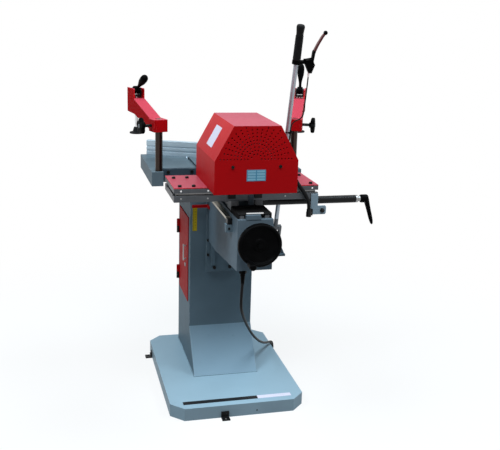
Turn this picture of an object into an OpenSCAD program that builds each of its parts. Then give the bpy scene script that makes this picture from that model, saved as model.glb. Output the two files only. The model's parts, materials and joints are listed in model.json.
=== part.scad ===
// Horizontal slot mortiser on a floor stand, in millimetres.
// X runs to the right as seen from the motor side, Y runs towards the work table, Z is up.
// The origin is on the floor in the middle of the base.

/* [Base] */
// Width of the base pan
base_w = 472; // [420:1:560]
// Depth of the base pan
base_d = 628; // [560:1:720]
// Height of the base pan
base_h = 45; // [35:1:60]
// Cut of each base corner
base_chamfer = 44; // [20:1:60]
// Sheet thickness of the base pan
base_sheet = 4; // [3:0.5:6]
// Width of an anchor bracket
anchor_w = 28; // [20:1:40]
// Reach of an anchor bracket over the floor
anchor_reach = 26; // [20:1:40]
// Height of an anchor bracket
anchor_h = 24; // [16:1:34]
// Sheet thickness of an anchor bracket
anchor_t = 4; // [3:0.5:6]
// Hole for an anchor bolt
anchor_hole_d = 9; // [7:0.5:11]
// Distance of the end brackets from the middle line
anchor_end_x = 53; // [30:1:120]
// Distance of the side brackets from the middle line
anchor_side_y = 215; // [120:1:230]

/* [Column] */
// Width of the column
col_w = 237; // [200:1:280]
// Depth of the column
col_d = 249; // [220:1:280]
// Place of the column's motor-side face
col_y = 36; // [20:1:60]
// Sheet thickness of the column
col_sheet = 3; // [2:0.5:5]
// Height of the flare above the floor
flare_z = 197; // [150:1:240]
// Reach of the flare at the base
flare_reach = 117; // [80:1:140]
// Width of the door
door_w = 190; // [150:1:200]
// Height of the door
door_h = 324; // [280:1:360]
// Height of the door's lower edge
door_z = 286; // [260:1:310]
// Distance from the column's motor-side face to the door
door_inset = 26; // [15:1:40]
// Sheet thickness of the door
door_t = 3; // [2:0.5:5]

/* [Table] */
// Height of the table's top
table_z = 805; // [780:1:830]
// Width of the table
table_w = 534; // [500:1:580]
// Depth of the table behind its ears
table_d = 270; // [250:1:300]
// Place of the recessed front face
table_y = 20; // [10:1:30]
// Thickness of the table
table_t = 50; // [40:1:60]
// Side of an ear that carries a clamp post
ear_w = 40; // [36:1:50]
// Reach of an ear
ear_reach = 65; // [58:1:70]
// Width of the fence groove
groove_w = 12; // [8:1:16]
// Depth of the fence groove
groove_h = 9; // [6:1:14]
// Place of the fence groove
groove_x = -100; // [-140:1:-80]
// Length of the fence
fence_l = 380; // [320:1:420]
// Height of the fence
fence_h = 55; // [45:1:60]
// Thickness of the fence
fence_t = 22; // [18:1:26]
// Angle of the fence to the table's edge
fence_angle = 22; // [10:1:30]

/* [Clamps] */
// Diameter of a clamp post
post_d = 25; // [22:0.5:28]
// Height of a clamp post above the table
post_h = 179; // [150:1:200]
// Width of a clamp arm
arm_w = 42; // [38:1:48]
// Reach of a clamp arm to its spindle
arm_reach = 190; // [170:1:210]
// Height of the block round the post
arm_block_h = 42; // [36:1:50]
// Rise of the arm from the block to its pocket
arm_rise = 50; // [40:1:60]
// Height of the pocket's cheeks
cheek_h = 35; // [32:1:40]
// Diameter of a clamp spindle
spindle_d = 12; // [10:0.5:14]
// Diameter of a rubber foot
foot_d = 50; // [44:1:56]
// Outward swing of the left arm as it stands
left_swing = 17; // [0:1:30]
// Outward swing of the right arm as it stands
right_swing = 22; // [0:1:30]
// Lean of the left cam lever
left_cam_lean = 57; // [20:1:60]
// Lean of the right cam lever
right_cam_lean = 0; // [-10:1:10]

/* [Knee] */
// Width of the knee
knee_w = 113; // [108:1:126]
// Length of the knee
knee_l = 440; // [400:1:480]
// Height of the knee's top
knee_z = 733; // [722:1:737]
// Height of the knee's lower edge at the column
knee_low_z = 538; // [520:1:552]
// Height of the knee's lower edge at the handwheel
knee_nose_z = 571; // [555:1:585]
// Wall of the knee
knee_wall = 7; // [5:0.5:10]
// Thickness of the guide plate on the column
guide_t = 12; // [8:1:16]
// Height of the lift shaft
shaft_z = 662; // [650:1:675]
// Sideways place of the lift shaft
shaft_x = 6; // [0:1:8]
// Diameter of the lift shaft
shaft_d = 16; // [12:1:18]
// Teeth of the lift pinion
pinion_teeth = 18; // [17:1:20]
// Diameter of the handwheel
wheel_d = 138; // [120:1:150]
// Length of the handwheel's handle
handle_l = 52; // [40:1:64]
// Width of a linear rail
rail_w = 14; // [12:1:16]
// Height of a linear rail
rail_h = 10; // [8:1:11]

/* [Slides] */
// Width of the slide plates
plate_w = 470; // [430:1:500]
// Depth of the slide plates
plate_d = 191; // [185:1:200]
// Place of the plates' motor-side edge
plate_y = -328; // [-335:1:-320]
// Height of the lower plate's underside
plate_z = 766; // [764:1:772]
// Thickness of the lower plate
lower_t = 21; // [18:1:22]
// Gap between the plates
plate_gap = 8; // [7:0.5:9]
// Thickness of the upper plate
upper_t = 14; // [12:0.5:16]
// Sheet thickness of the red cover
cover_t = 3; // [2:0.5:4]
// Diameter of the clamp tube
tube_d = 26; // [22:0.5:28]
// Reach of the clamp tube from the middle
tube_reach = 404; // [380:1:420]

/* [Motor] */
// Width of the hood
hood_w = 260; // [240:1:264]
// Width of the hood's top
hood_top_w = 145; // [120:1:170]
// Length of the hood
hood_l = 298; // [280:1:310]
// Distance the hood overhangs the plates
hood_over = 103; // [95:1:110]
// Height of the hood's upright sides
hood_side_h = 102; // [90:1:112]
// Height of the hood
hood_h = 207; // [195:1:220]
// Sheet thickness of the hood
hood_sheet = 3; // [2:0.5:4]
// Height of the spindle above the cover
axis_h = 93; // [88:1:98]
// Diameter of the motor
motor_d = 150; // [130:1:156]
// Diameter of the drill chuck
chuck_d = 50; // [44:1:54]
// Bore of the drill chuck
chuck_bore_d = 16; // [10:1:18]
// Diameter of a vent hole
vent_d = 5; // [4:0.5:6]

/* [Lever] */
// Sideways place of the lever
lever_x = 174; // [170:1:180]
// Height of the lever's lower pivot
lever_pivot_z = 560; // [550:1:570]
// Lean of the lever towards the motor side
lever_tilt = 15.3; // [12:0.1:16]
// Diameter of the lever bar
bar_d = 15; // [13:0.5:16]
// Length of the lever from its pivot to the brake ring
bar_l = 650; // [620:1:670]
// Length of the grip
grip_l = 114; // [104:1:130]
// Diameter of the grip
grip_d = 25; // [24:1:30]

/* [Cables] */
// Diameter of the mains cable
cord_d = 9; // [7:0.5:9]
// Diameter of the motor cable
motor_cord_d = 12; // [9:0.5:12]
// Diameter of the brake cable
brake_cord_d = 4.4; // [3:0.2:5]

/* [Hidden] */
$fn = 48;
// Radial clearance of a turning fit
run_gap = 0.05;
// Clearance between sliding or swinging flat faces
slide_gap = 0.3;
// Overlap that makes cuts break through a face
cut = 1;

// Column and table
col_top_z = table_z - table_t;
col_far_y = col_y + col_d;
door_y = col_y + door_inset;
door_x = -col_w / 2;
door_rim = 13;
hinge_r = 6;
hinge_h = 54;
hinge_x = door_x - hinge_r - 1;
hinge_y = door_y + door_w + hinge_r + 2;
hinge_z = [door_z + 26, door_z + door_h - 56 - hinge_h];
hinge_pin_r = 3;
pull_inset = 36;
pull_rise = 151;
pull_l = 63;
pull_w = 7;
pull_t = 5;
pull_gap = 8;

// Clamps, with each arm drawn along +Y from its post
post_x = table_w / 2 - ear_w / 2 - 7;
post_y = table_y - ear_reach + ear_w / 2;
post_seat = 30;
block_half = 25;
block_z = table_z + post_h - arm_block_h;
pocket_z = block_z + arm_block_h + arm_rise;
pocket_w = 32;
cheek_l = 57;
arm_end = arm_reach + 32;
cam_r = 14;
cam_l = 20;
cam_z = pocket_z + cheek_h - 7;
anchor_right_y = anchor_side_y - 105;
boss_t = 7;
cam_pin_r = 4;
clevis_t = 4;
foot_z = block_z - 25;
knob_d = 56;
knob_gap = 25;

// Guide between column and knee
guide_w = 120;
guide_z0 = 412;
guide_z1 = col_top_z - 15;
guide_bolt_x = guide_w / 2 - 6;
guide_bolt_z = [guide_z0 + 66, guide_z0 + 122];
guide_foot_bolt = [guide_w / 2 - 31, guide_z0 + 16];
apron_bolt_x = [table_w / 2 - 148, table_w / 2 - 64];
apron_t = 10;
fence_pin_inset = 203;
guide_y = col_y - guide_t;
lift_rail_x = 36;
lift_rail_z0 = 440;
lift_travel = 90;
shoe_h = 45;
shoe_wall = 5;
gear_module = 2;
pinion_r = gear_module * pinion_teeth / 2;
gear_width = 16;
backlash = 0.3;
pressure_angle = 20;
rack_pitch = PI * gear_module;
rack_teeth = 28;
rack_drop = 18;
rack_back = 8;

// Handwheel
wheel_y = -knee_l - 32;
handle_r = wheel_d / 2 - 8;
handle_turn = 214;
handle_pin_r = 5;

// Cross slide on the knee
cross_rail_x = 40;
cross_rail_y0 = 16;
cross_rail_y1 = 8;
plate_far_y = plate_y + plate_d;
lower_top = plate_z + lower_t;
upper_z = lower_top + plate_gap;
cover_z = upper_z + upper_t;
top_z = cover_z + cover_t;
shoe_l = 50;
stop_inset = 95;
stop_l = 283;
stop_block_l = 21;
bellows_w = 110;
bellows_h = 18;
bellows_t = 1.5;
bellows_pleats = 9;
bellows_depth = 5;

// Long slide between the plates
long_rail_y = [plate_y + 20, plate_far_y - 45];
long_rail_w = 12;
long_rail_h = 12;
block_l = 60;
block_x = 70;
block_w = 28;
block_sink = 10;

// Clamp tube
tube_y = plate_y + 98;
tube_z = plate_z - 29;
tube_x0 = knee_w / 2 + 6;
tube_wall = 5;
lock_rod_d = 12;
ring_l = 18;

// Hood and motor
hood_y = plate_y - hood_over;
hood_far_y = hood_y + hood_l;
axis_z = top_z + axis_h;
motor_y0 = hood_y + 45;
motor_l = 205;
motor_wall = 12;
motor_shaft_d = 24;
chuck_l = 66;
chuck_y0 = hood_far_y + 7;
vent_rings = 9;
vent_first_r = 16;
vent_step = 10;
vent_gap = 11;
vent_z = top_z + hood_side_h - 4;

// Lever, with the bar drawn upright from its pivot
link_z = top_z;
link_t = 8;
lever_rise = link_z + link_t / 2 - lever_pivot_z;
lever_link_y = plate_far_y + 15;
lever_pivot_y = lever_link_y + lever_rise * tan(lever_tilt);
lever_pivot = [lever_x, lever_pivot_y, lever_pivot_z];
yoke_half = 12.8;
yoke_pin_r = 5;
fork_in = yoke_half + slide_gap;
fork_t = 8;
fork_half = 8;
shelf_z = lever_pivot_z - 65;
shelf_t = 8;
shelf_end = lever_x + 34;
bracket_t = 8;
brake_pivot = [52, 0, bar_l + 5];
ring_h = 11;
core_l = ring_h + grip_l - 8;
brake_pin_r = 2.5;
brake_arm_w = 12;
adjust_x = 46.5;

// Routes of the cables
gland_x = -27;
gland_y = -knee_l + 38;
mains_route = [
    [gland_x, gland_y, 539.7], [gland_x - 0.5, gland_y - 1, 518], [gland_x - 3.5, gland_y - 7.5, 494],
    [gland_x - 6, gland_y - 13, 468], [gland_x - 5, gland_y - 11, 443], [-25.6, -399, 418],
    [-11.5, -368.5, 385], [8, -326.6, 347], [30.9, -277, 306], [56, -222.8, 264], [86.7, -156.8, 217.5],
    [122.4, -79.7, 169], [160, 2, 123.5], [184.5, 53, 98], [204, 93, 80], [217, 118.5, 69.5],
    [225.4, 131.5, 64.3], [232.4, 140.5, 60.5], [239.2, 150.1, 55.1], [244.5, 159, 47.2],
    [248.3, 166.4, 37.3], [251.3, 173.4, 26.4], [254.4, 182.3, 17.5], [257.3, 193, 10.8],
    [259.8, 205.1, 6.7], [261.5, 218.1, 5], [261.9, 232, 5], [260.3, 249, 5], [254.5, 270, 5],
    [243, 292, 5], [224, 315, 5], [196, 335, 5], [162, 347, 5], [126, 352, 5], [95, 352, 5], [55, 352, 5]
];
// Elbow where the motor cable leaves the hood
motor_gland = [hood_w / 2, hood_y + 93, top_z + 39];
motor_gland_r = 9;
motor_gland_dip = 55;
motor_route = [
    [145.8, -338, 842.7], [157.8, -338.5, 825.6], [170.7, -340.5, 807.2], [183.6, -343.5, 788.8],
    [192.6, -345.7, 772.6], [198.2, -346.8, 755.1], [200, -347, 736.6]
];
// Brake cable from the adjuster to its stop on the upright lever bar
brake_stop_z = 345;
brake_cable_x = bar_d / 2 + brake_cord_d / 2 + 0.6;
brake_low = bar_l - 232.3;
brake_run = brake_low - brake_stop_z;
brake_route = [
    [adjust_x, 0, bar_l - 43.4], [adjust_x + 0.4, 0, bar_l - 65], [adjust_x + 0.8, 0, bar_l - 90],
    [adjust_x + 1, 0, bar_l - 115], [adjust_x + 1, 0, bar_l - 138], [adjust_x + 1, 0, bar_l - 156],
    [adjust_x + 1, 0, bar_l - 170], [adjust_x - 0.3, 0, bar_l - 178.3], [42.4, 0, bar_l - 185.8],
    [36.4, 0, bar_l - 191.8], [28.9, 0, bar_l - 195.7], [21.4, 0, bar_l - 199.5], [15.4, 0, bar_l - 205.5],
    [brake_cable_x + 1.3, 0, bar_l - 213], [brake_cable_x, 0, bar_l - 221.3], [brake_cable_x, 0, brake_low],
    [brake_cable_x, 0, brake_low - brake_run * 0.3], [brake_cable_x, 0, brake_low - brake_run * 0.64],
    [brake_cable_x, 0, brake_stop_z + 0.3]
];
coil_centre = [15, 412];
coil_r = 60;
coil_pitch = 10;
coil_layer = 9.8;
coil_turns = 4.5;
coil_rings = 24;
coil_z = 5;
coil_lead = 40;
plug_x = 75;
plug_z = 19;
plug_r = 18.5;
plug_l = 38;

// Colours
paint_grey = "#8d9aa3";
paint_light = "#a9b6bd";
paint_red = "#c81418";
black = "#17181a";
steel = "#b9bdc0";
dark_steel = "#4a4f54";

// Box between two corners
module box(a, b) {
    translate(a) cube(b - a);
}

// Round bar along one axis, from a point
module rod_x(p, r, l) {
    translate(p) rotate([0, 90, 0]) cylinder(r = r, h = l);
}

module rod_y(p, r, l) {
    translate(p) rotate([-90, 0, 0]) cylinder(r = r, h = l);
}

module rod_z(p, r, l) {
    translate(p) cylinder(r = r, h = l);
}

// Outline in Y and Z, given width in X about the middle
module prism_x(w, points) {
    translate([-w / 2, 0, 0]) rotate([90, 0, 90]) linear_extrude(w) polygon(points);
}

// Outline in X and Z, from one Y to another
module prism_y(y0, y1, points) {
    translate([0, y1, 0]) rotate([90, 0, 0]) linear_extrude(y1 - y0) polygon(points);
}

// Cap screw with a domed head on a +Z face
module screw_z(p, r, h) {
    translate(p) rotate_extrude() polygon([[0, 0], [r, 0], [r, h * 0.6], [r * 0.7, h], [0, h]]);
}

// Cap screw on a face that looks towards -Y
module screw_y(p, r, h) {
    translate(p) rotate([90, 0, 0]) screw_z([0, 0, 0], r, h);
}

// Smooth curve through points and its sweep to a tube of triangles
function unit(v) = v / norm(v);
function spline(a, b, c, d, t) =
    0.5 * (2 * b + (c - a) * t + (2 * a - 5 * b + 4 * c - d) * t * t + (3 * b - a - 3 * c + d) * t * t * t);
function curve(p, n) = [
    for (i = [0 : len(p) - 2])
        for (j = [0 : n - 1])
            spline(p[max(i - 1, 0)], p[i], p[i + 1], p[min(i + 2, len(p) - 1)], j / n),
    p[len(p) - 1]
];
function tangents(p) = [
    for (i = [0 : len(p) - 1]) unit(p[min(i + 1, len(p) - 1)] - p[max(i - 1, 0)])
];
function carry(n, t) = unit(n - (n * t) * t);
function normals(t, n, i = 0) =
    i >= len(t) ? [] : let (m = carry(n, t[i])) concat([m], normals(t, m, i + 1));
function ring(p, t, n, r, sides) = [
    for (k = [0 : sides - 1])
        p + r * (cos(360 * k / sides) * n + sin(360 * k / sides) * cross(t, n))
];

module tube_along(path, r, sides, start) {
    t = tangents(path);
    n = normals(t, start);
    last = len(path) - 1;
    points = [for (i = [0 : last]) each ring(path[i], t[i], n[i], r, sides)];
    walls = [
        for (i = [0 : last - 1])
            for (k = [0 : sides - 1])
                let (a = i * sides + k, b = i * sides + (k + 1) % sides)
                    each [[a, a + sides, b], [b, a + sides, b + sides]]
    ];
    near_end = [for (k = [1 : sides - 2]) [0, k, k + 1]];
    far_end = [for (k = [1 : sides - 2]) [last * sides, last * sides + k + 1, last * sides + k]];
    polyhedron(points, concat(walls, near_end, far_end));
}

// Shoe or block that wraps a rail on a +Z face, open at both ends along Y
module rail_shoe(w, l, h, rail_width, rail_height, lift) {
    difference() {
        box([-w / 2, -l / 2, lift], [w / 2, l / 2, h]);
        box([-rail_width / 2 - slide_gap, -l / 2 - cut, lift - cut],
            [rail_width / 2 + slide_gap, l / 2 + cut, rail_height + slide_gap]);
    }
}

// Base
module base_outline(inset) {
    x = base_w / 2 - inset;
    y = base_d / 2 - inset;
    c = base_chamfer - inset * (2 - sqrt(2));
    polygon([
        [x - c, -y], [x, -y + c], [x, y - c], [x - c, y],
        [-x + c, y], [-x, y - c], [-x, -y + c], [-x + c, -y]
    ]);
}

module base_pan() {
    color(paint_light) difference() {
        linear_extrude(base_h) base_outline(0);
        translate([0, 0, base_sheet]) linear_extrude(base_h - 2 * base_sheet) base_outline(base_sheet);
    }
}

module anchor_bracket() {
    difference() {
        union() {
            box([-anchor_w / 2, -anchor_reach, 0], [anchor_w / 2, 0, anchor_t]);
            box([-anchor_w / 2, -anchor_t, 0], [anchor_w / 2, 0, anchor_h]);
        }
        rod_z([0, -anchor_reach / 2 - anchor_t / 2, -cut], anchor_hole_d / 2, anchor_t + 2 * cut);
    }
}

module anchor_brackets() {
    color(black) {
        for (s = [0, 180]) rotate([0, 0, s]) {
            translate([-anchor_end_x, -base_d / 2, 0]) anchor_bracket();
            translate([-base_w / 2, s == 0 ? anchor_side_y : anchor_right_y, 0])
                rotate([0, 0, -90]) anchor_bracket();
        }
    }
}

// Column with its flare, door opening and closed top rim
module column_shape(inset, bottom, top) {
    w = col_w - 2 * inset;
    slope = flare_reach / (flare_z - base_h);
    rise = sqrt(1 + slope * slope);
    prism_x(w, [
        [col_y - flare_reach + (bottom - base_h) * slope + inset * rise, bottom],
        [col_y + inset, flare_z - inset * (rise - 1) / slope],
        [col_y + inset, top], [col_far_y - inset, top], [col_far_y - inset, bottom]
    ]);
}

module column_shell() {
    color(paint_grey) difference() {
        column_shape(0, base_h, col_top_z);
        column_shape(col_sheet, base_h - cut, col_top_z + cut);
        box([door_x - cut, door_y + door_rim, door_z + door_rim],
            [door_x + col_sheet + cut, door_y + door_w - door_rim, door_z + door_h - door_rim]);
    }
}

// Door that lies on the column's left face, with its moving hinge halves
module hinge_half(z, h) {
    rod_z([hinge_x, hinge_y, z], hinge_r, h);
}

module door_panel() {
    color(paint_red) {
        difference() {
            union() {
                box([door_x - slide_gap - door_t, door_y, door_z],
                    [door_x - slide_gap, door_y + door_w, door_z + door_h]);
                for (z = hinge_z) {
                    hinge_half(z + hinge_h / 2 + slide_gap, hinge_h / 2 - slide_gap);
                    box([hinge_x, door_y + door_w - cut, z + hinge_h / 2 + slide_gap],
                        [door_x - slide_gap, hinge_y, z + hinge_h]);
                }
            }
            for (z = hinge_z) rod_z([hinge_x, hinge_y, z], hinge_pin_r + run_gap, hinge_h + cut);
        }
    }
}

module door_hinges() {
    color(black) for (z = hinge_z) {
        hinge_half(z, hinge_h / 2);
        rod_z([hinge_x, hinge_y, z], hinge_pin_r, hinge_h - 4);
        box([hinge_x, hinge_y, z], [door_x, hinge_y + 2 * hinge_r, z + hinge_h / 2]);
    }
}

module door_handle() {
    bar_x = door_x - slide_gap - door_t;
    y = door_y + pull_inset;
    z = door_z + pull_rise;
    color(steel) {
        box([bar_x - pull_gap - pull_t, y - pull_w / 2, z], [bar_x - pull_gap, y + pull_w / 2, z + pull_l]);
        for (h = [z + 6, z + pull_l - 6]) rod_x([bar_x - pull_gap, y, h], pull_w / 2, pull_gap);
        rod_x([bar_x - 3, y + 12, z - 20], 8, 3);
    }
}

// Guide between the column and the knee
module guide_plate() {
    color(paint_grey) box([-guide_w / 2, guide_y, guide_z0], [guide_w / 2, col_y, guide_z1]);
}

// Straight rack tooth, pointing towards +X from its pitch line
module rack_tooth(z) {
    half = rack_pitch / 4 - backlash / 2;
    lean = gear_module * tan(pressure_angle);
    translate([0, 0, z]) prism_y(0, gear_width, [
        [-1.25 * gear_module - cut, half + 1.25 * lean], [-1.25 * gear_module, half + 1.25 * lean],
        [gear_module, half - lean], [gear_module, -half + lean],
        [-1.25 * gear_module, -half - 1.25 * lean], [-1.25 * gear_module - cut, -half - 1.25 * lean]
    ]);
}

module lift_guide() {
    rack_x = shaft_x - pinion_r;
    rack_z0 = shaft_z - (rack_drop + 0.5) * rack_pitch;
    color(paint_grey) {
        for (s = [-1, 1])
            box([s * lift_rail_x - rail_w / 2, guide_y - rail_h, lift_rail_z0],
                [s * lift_rail_x + rail_w / 2, guide_y, guide_z1 - 4]);
        translate([rack_x, guide_y - gear_width, 0]) {
            box([-1.25 * gear_module - rack_back, 0, rack_z0],
                [-1.25 * gear_module, gear_width, rack_z0 + rack_teeth * rack_pitch]);
            for (i = [0 : rack_teeth - 1]) rack_tooth(rack_z0 + (i + 0.5) * rack_pitch);
        }
    }
}

module height_scale() {
    color("#d9a400") box([-col_w / 2 + 9, col_y - 1, 567], [-col_w / 2 + 25, col_y, 657]);
}

module work_table() {
    color(paint_grey) difference() {
        union() {
            box([-table_w / 2, table_y, col_top_z], [table_w / 2, table_y + table_d, table_z]);
            for (s = [-1, 1])
                box([s * (table_w - ear_w) / 2 - ear_w / 2, table_y - ear_reach, col_top_z],
                    [s * (table_w - ear_w) / 2 + ear_w / 2, table_y + cut, table_z]);
        }
        box([groove_x - groove_w / 2, table_y - cut, table_z - groove_h],
            [groove_x + groove_w / 2, table_y + table_d + cut, table_z + cut]);
        for (s = [-1, 1])
            rod_z([s * post_x, post_y, table_z - post_seat], post_d / 2 + run_gap, post_seat + cut);
    }
}

module table_apron() {
    half = table_w / 2 - ear_w - 2;
    color(dark_steel) box([-half, table_y - apron_t, table_z - 42], [half, table_y, table_z - 1]);
}

module stand_bolts() {
    color(black) {
        for (s = [-1, 1]) {
            for (z = guide_bolt_z) screw_y([s * guide_bolt_x, guide_y, z], 5, 6);
            screw_y([s * guide_foot_bolt[0], guide_y, guide_foot_bolt[1]], 6, 6);
            for (x = apron_bolt_x) screw_y([s * x, table_y - apron_t, table_z - 12], 6, 6);
        }
    }
}

// Knee
function knee_under(y) =
    y > -118 ? knee_low_z : knee_low_z + (knee_nose_z - knee_low_z) * (-118 - y) / (knee_l - 118);

module knee_shape(inset) {
    prism_x(knee_w - 2 * inset, [
        [-knee_l + inset, knee_nose_z + inset], [-118, knee_low_z + inset], [-inset, knee_low_z + inset],
        [-inset, knee_z - inset], [-knee_l + inset, knee_z - inset]
    ]);
}

module knee_box() {
    boss_r = shaft_d / 2 + 7;
    color(paint_grey) difference() {
        union() {
            difference() {
                knee_shape(0);
                knee_shape(knee_wall);
            }
            rod_y([shaft_x, -knee_l - 6, shaft_z], boss_r, 26);
            rod_y([shaft_x, -30, shaft_z], boss_r, 30);
            box([-30, -knee_l, knee_z - cut], [16, -knee_l + 12, knee_z + 14]);
        }
        rod_y([shaft_x, -knee_l - 6 - cut, shaft_z], shaft_d / 2 + run_gap, knee_l + 6 + 2 * cut);
    }
}

module guide_shoes() {
    shoe_w = rail_w + 2 * shoe_wall;
    lift = 1.5;
    color(dark_steel)
        for (s = [-1, 1])
            for (z = [knee_low_z + 5, knee_z - 5 - shoe_h])
                translate([s * lift_rail_x, guide_y, z + shoe_h / 2]) rotate([90, 0, 0])
                    rail_shoe(shoe_w, shoe_h, guide_y, rail_w, rail_h, lift);
}

module knee_pointer() {
    z = knee_z - 75;
    h = 11;
    color(paint_red) {
        box([-col_w / 2 + 3, guide_y - 8, z], [-knee_w / 2, guide_y - 4, z + h]);
        box([-knee_w / 2 - 4, -12, z], [-knee_w / 2, guide_y - 4, z + h]);
    }
}

module cross_rails() {
    color(dark_steel) for (s = [-1, 1])
        box([s * cross_rail_x - rail_w / 2, -knee_l + cross_rail_y0, knee_z],
            [s * cross_rail_x + rail_w / 2, -cross_rail_y1, knee_z + rail_h]);
}

module depth_stop() {
    x = -knee_w / 2;
    y0 = -knee_l + stop_inset;
    y1 = y0 + stop_l;
    color("#b3ac98") {
        box([x - 4, y0, knee_z - 35], [x, y1, knee_z - 12]);
        box([x - 16.5, y0, knee_z - 18], [x - 4, y1, knee_z - 12]);
    }
    color(black) box([x - 15.5, y0 - stop_block_l, knee_z - 33], [x, y0, knee_z - 15]);
    color(paint_grey) box([x - 19.5, y0 - stop_block_l, knee_z - 58], [x, y0 + 3, knee_z - 33]);
}

// Pleated cover in front of the slide
function pleats(y0, y1, base, depth) = [
    for (i = [0 : 2 * bellows_pleats])
        [y0 + (y1 - y0) * i / (2 * bellows_pleats), base - (i % 2 == 0 ? depth : 0)]
];

module bellows_body(inset) {
    y0 = -knee_l + cross_rail_y0 - 3;
    y1 = plate_y - 1;
    half = bellows_w / 2 - inset;
    top = bellows_h - inset;
    intersection() {
        prism_x(bellows_w, concat(pleats(y0, y1, top, bellows_depth), [[y1, 0], [y0, 0]]));
        linear_extrude(bellows_h) polygon(concat(
            [for (p = pleats(y0, y1, half, bellows_depth)) [p[1], p[0]]],
            [for (i = [2 * bellows_pleats : -1 : 0])
                let (p = pleats(y0, y1, half, bellows_depth)[i]) [-p[1], p[0]]]
        ));
    }
}

module bellows() {
    color(black) translate([0, 0, knee_z + 0.3]) difference() {
        bellows_body(0);
        translate([0, 0, -0.01]) bellows_body(bellows_t);
    }
}

// Bracket on the knee's right side for the lever's lower pivot
module lever_bracket() {
    x = knee_w / 2;
    y = lever_pivot_y;
    lug = yoke_half + slide_gap;
    color(paint_grey) {
        difference() {
            union() {
                box([x, y - 34, shelf_z], [x + bracket_t, y + 34, lever_pivot_z + 60]);
                box([x, y - 34, shelf_z], [shelf_end, y + 34, shelf_z + shelf_t]);
                for (y0 = [y - lug - fork_t, y + lug])
                    prism_y(y0, y0 + fork_t, [
                        [lever_x - 42, shelf_z + shelf_t - cut], [shelf_end, shelf_z + shelf_t - cut],
                        [lever_x + 12, lever_pivot_z - 10], [lever_x + 12, lever_pivot_z + 12],
                        [lever_x - 12, lever_pivot_z + 12], [lever_x - 12, lever_pivot_z - 10]
                    ]);
            }
            rod_y([lever_x, y - 40, lever_pivot_z], yoke_pin_r + run_gap, 80);
        }
    }
}

module cord_gland() {
    z = knee_under(gland_y) + 2;
    color(black) difference() {
        union() {
            rod_z([gland_x, gland_y, 540], 8, z - 540);
            rod_z([gland_x, gland_y, 550], 12, 8);
        }
        translate([gland_x - 20, gland_y, knee_under(gland_y)])
            rotate([-atan((knee_nose_z - knee_low_z) / (knee_l - 118)), 0, 0])
                box([0, -30, 0], [40, 30, 20]);
    }
}

// Handwheel with shaft and pinion
module handwheel() {
    r = wheel_d / 2;
    color(black) difference() {
        translate([shaft_x, wheel_y, shaft_z]) rotate([90, 0, 0]) rotate_extrude() polygon([
            [0, -22], [17, -22], [17, -4], [r - 16, -4], [r - 12, -8], [r - 4, -8], [r, -4],
            [r, 8], [r - 4, 13], [r - 9, 13], [r - 14, 5], [20, 2], [16, 6], [0, 6]
        ]);
        rod_y([shaft_x, wheel_y, shaft_z], shaft_d / 2, 23);
        handle_place() rod_z([0, 0, -20], handle_pin_r + run_gap, 40);
    }
}

module handle_place() {
    translate([shaft_x + handle_r * sin(handle_turn), wheel_y, shaft_z + handle_r * cos(handle_turn)])
        rotate([90, 0, 0]) children();
}

function involute(base_r, a) =
    base_r * [cos(a) + a * PI / 180 * sin(a), sin(a) - a * PI / 180 * cos(a)];
function turned(p, a) = [p[0] * cos(a) - p[1] * sin(a), p[0] * sin(a) + p[1] * cos(a)];

module pinion() {
    base_r = pinion_r * cos(pressure_angle);
    tip_r = pinion_r + gear_module;
    root_r = pinion_r - 1.25 * gear_module;
    tip_a = acos(base_r / tip_r);
    roll_tip = tan(tip_a) * 180 / PI;
    pitch_a = tan(pressure_angle) * 180 / PI - pressure_angle;
    half = 90 / pinion_teeth - backlash / 2 / pinion_r * 180 / PI + pitch_a;
    flank = [for (i = [0 : 5]) turned(involute(base_r, roll_tip * i / 5), -half)];
    tooth = concat([turned([root_r, 0], -half)], flank,
        [for (i = [5 : -1 : 0]) [flank[i][0], -flank[i][1]]], [turned([root_r, 0], half)]);
    linear_extrude(gear_width) union() {
        polygon([for (i = [0 : pinion_teeth - 1])
            each [for (p = tooth) turned(p, (i + 0.5) * 360 / pinion_teeth)]]);
    }
}

module lift_shaft() {
    color(steel) {
        rod_y([shaft_x, wheel_y, shaft_z], shaft_d / 2, -wheel_y + guide_y - gear_width - 0.5);
        translate([shaft_x, guide_y - 0.5, shaft_z]) rotate([90, 0, 0]) mirror([1, 0, 0]) pinion();
    }
}

module wheel_handle() {
    end = 14 + handle_l;
    color(black) handle_place() rotate_extrude() polygon([
        [0, -7], [handle_pin_r, -7], [handle_pin_r, 14], [8, 14], [9, 20], [11, 30],
        [11, end - 6], [8, end], [0, end]
    ]);
}

// Cross slide
module lower_plate() {
    color(paint_light) difference() {
        box([-plate_w / 2, plate_y, plate_z], [plate_w / 2, plate_far_y, lower_top]);
        for (y = long_rail_y) {
            box([-plate_w / 2 - cut, y - long_rail_w / 2 - 2, upper_z - long_rail_h - 2],
                [plate_w / 2 + cut, y + long_rail_w / 2 + 2, lower_top + cut]);
            for (s = [-1, 1])
                box([s * block_x - block_l / 2, y - block_w / 2, lower_top - block_sink],
                    [s * block_x + block_l / 2, y + block_w / 2, lower_top + cut]);
        }
    }
}

module cross_shoes() {
    color(dark_steel)
        for (s = [-1, 1])
            for (y = [plate_y + 6 + shoe_l / 2, plate_far_y - 6 - shoe_l / 2])
                translate([s * cross_rail_x, y, knee_z])
                    rail_shoe(rail_w + 2 * shoe_wall, shoe_l, plate_z - knee_z, rail_w, rail_h, 2);
}

module slide_blocks() {
    z0 = lower_top - block_sink;
    color(dark_steel)
        for (y = long_rail_y)
            for (s = [-1, 1])
                translate([s * block_x, y, 0]) difference() {
                    box([-block_l / 2, -block_w / 2, z0], [block_l / 2, block_w / 2, upper_z - slide_gap]);
                    box([-block_l / 2 - cut, -long_rail_w / 2 - slide_gap, upper_z - long_rail_h - slide_gap],
                        [block_l / 2 + cut, long_rail_w / 2 + slide_gap, upper_z + cut]);
                }
}

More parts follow.
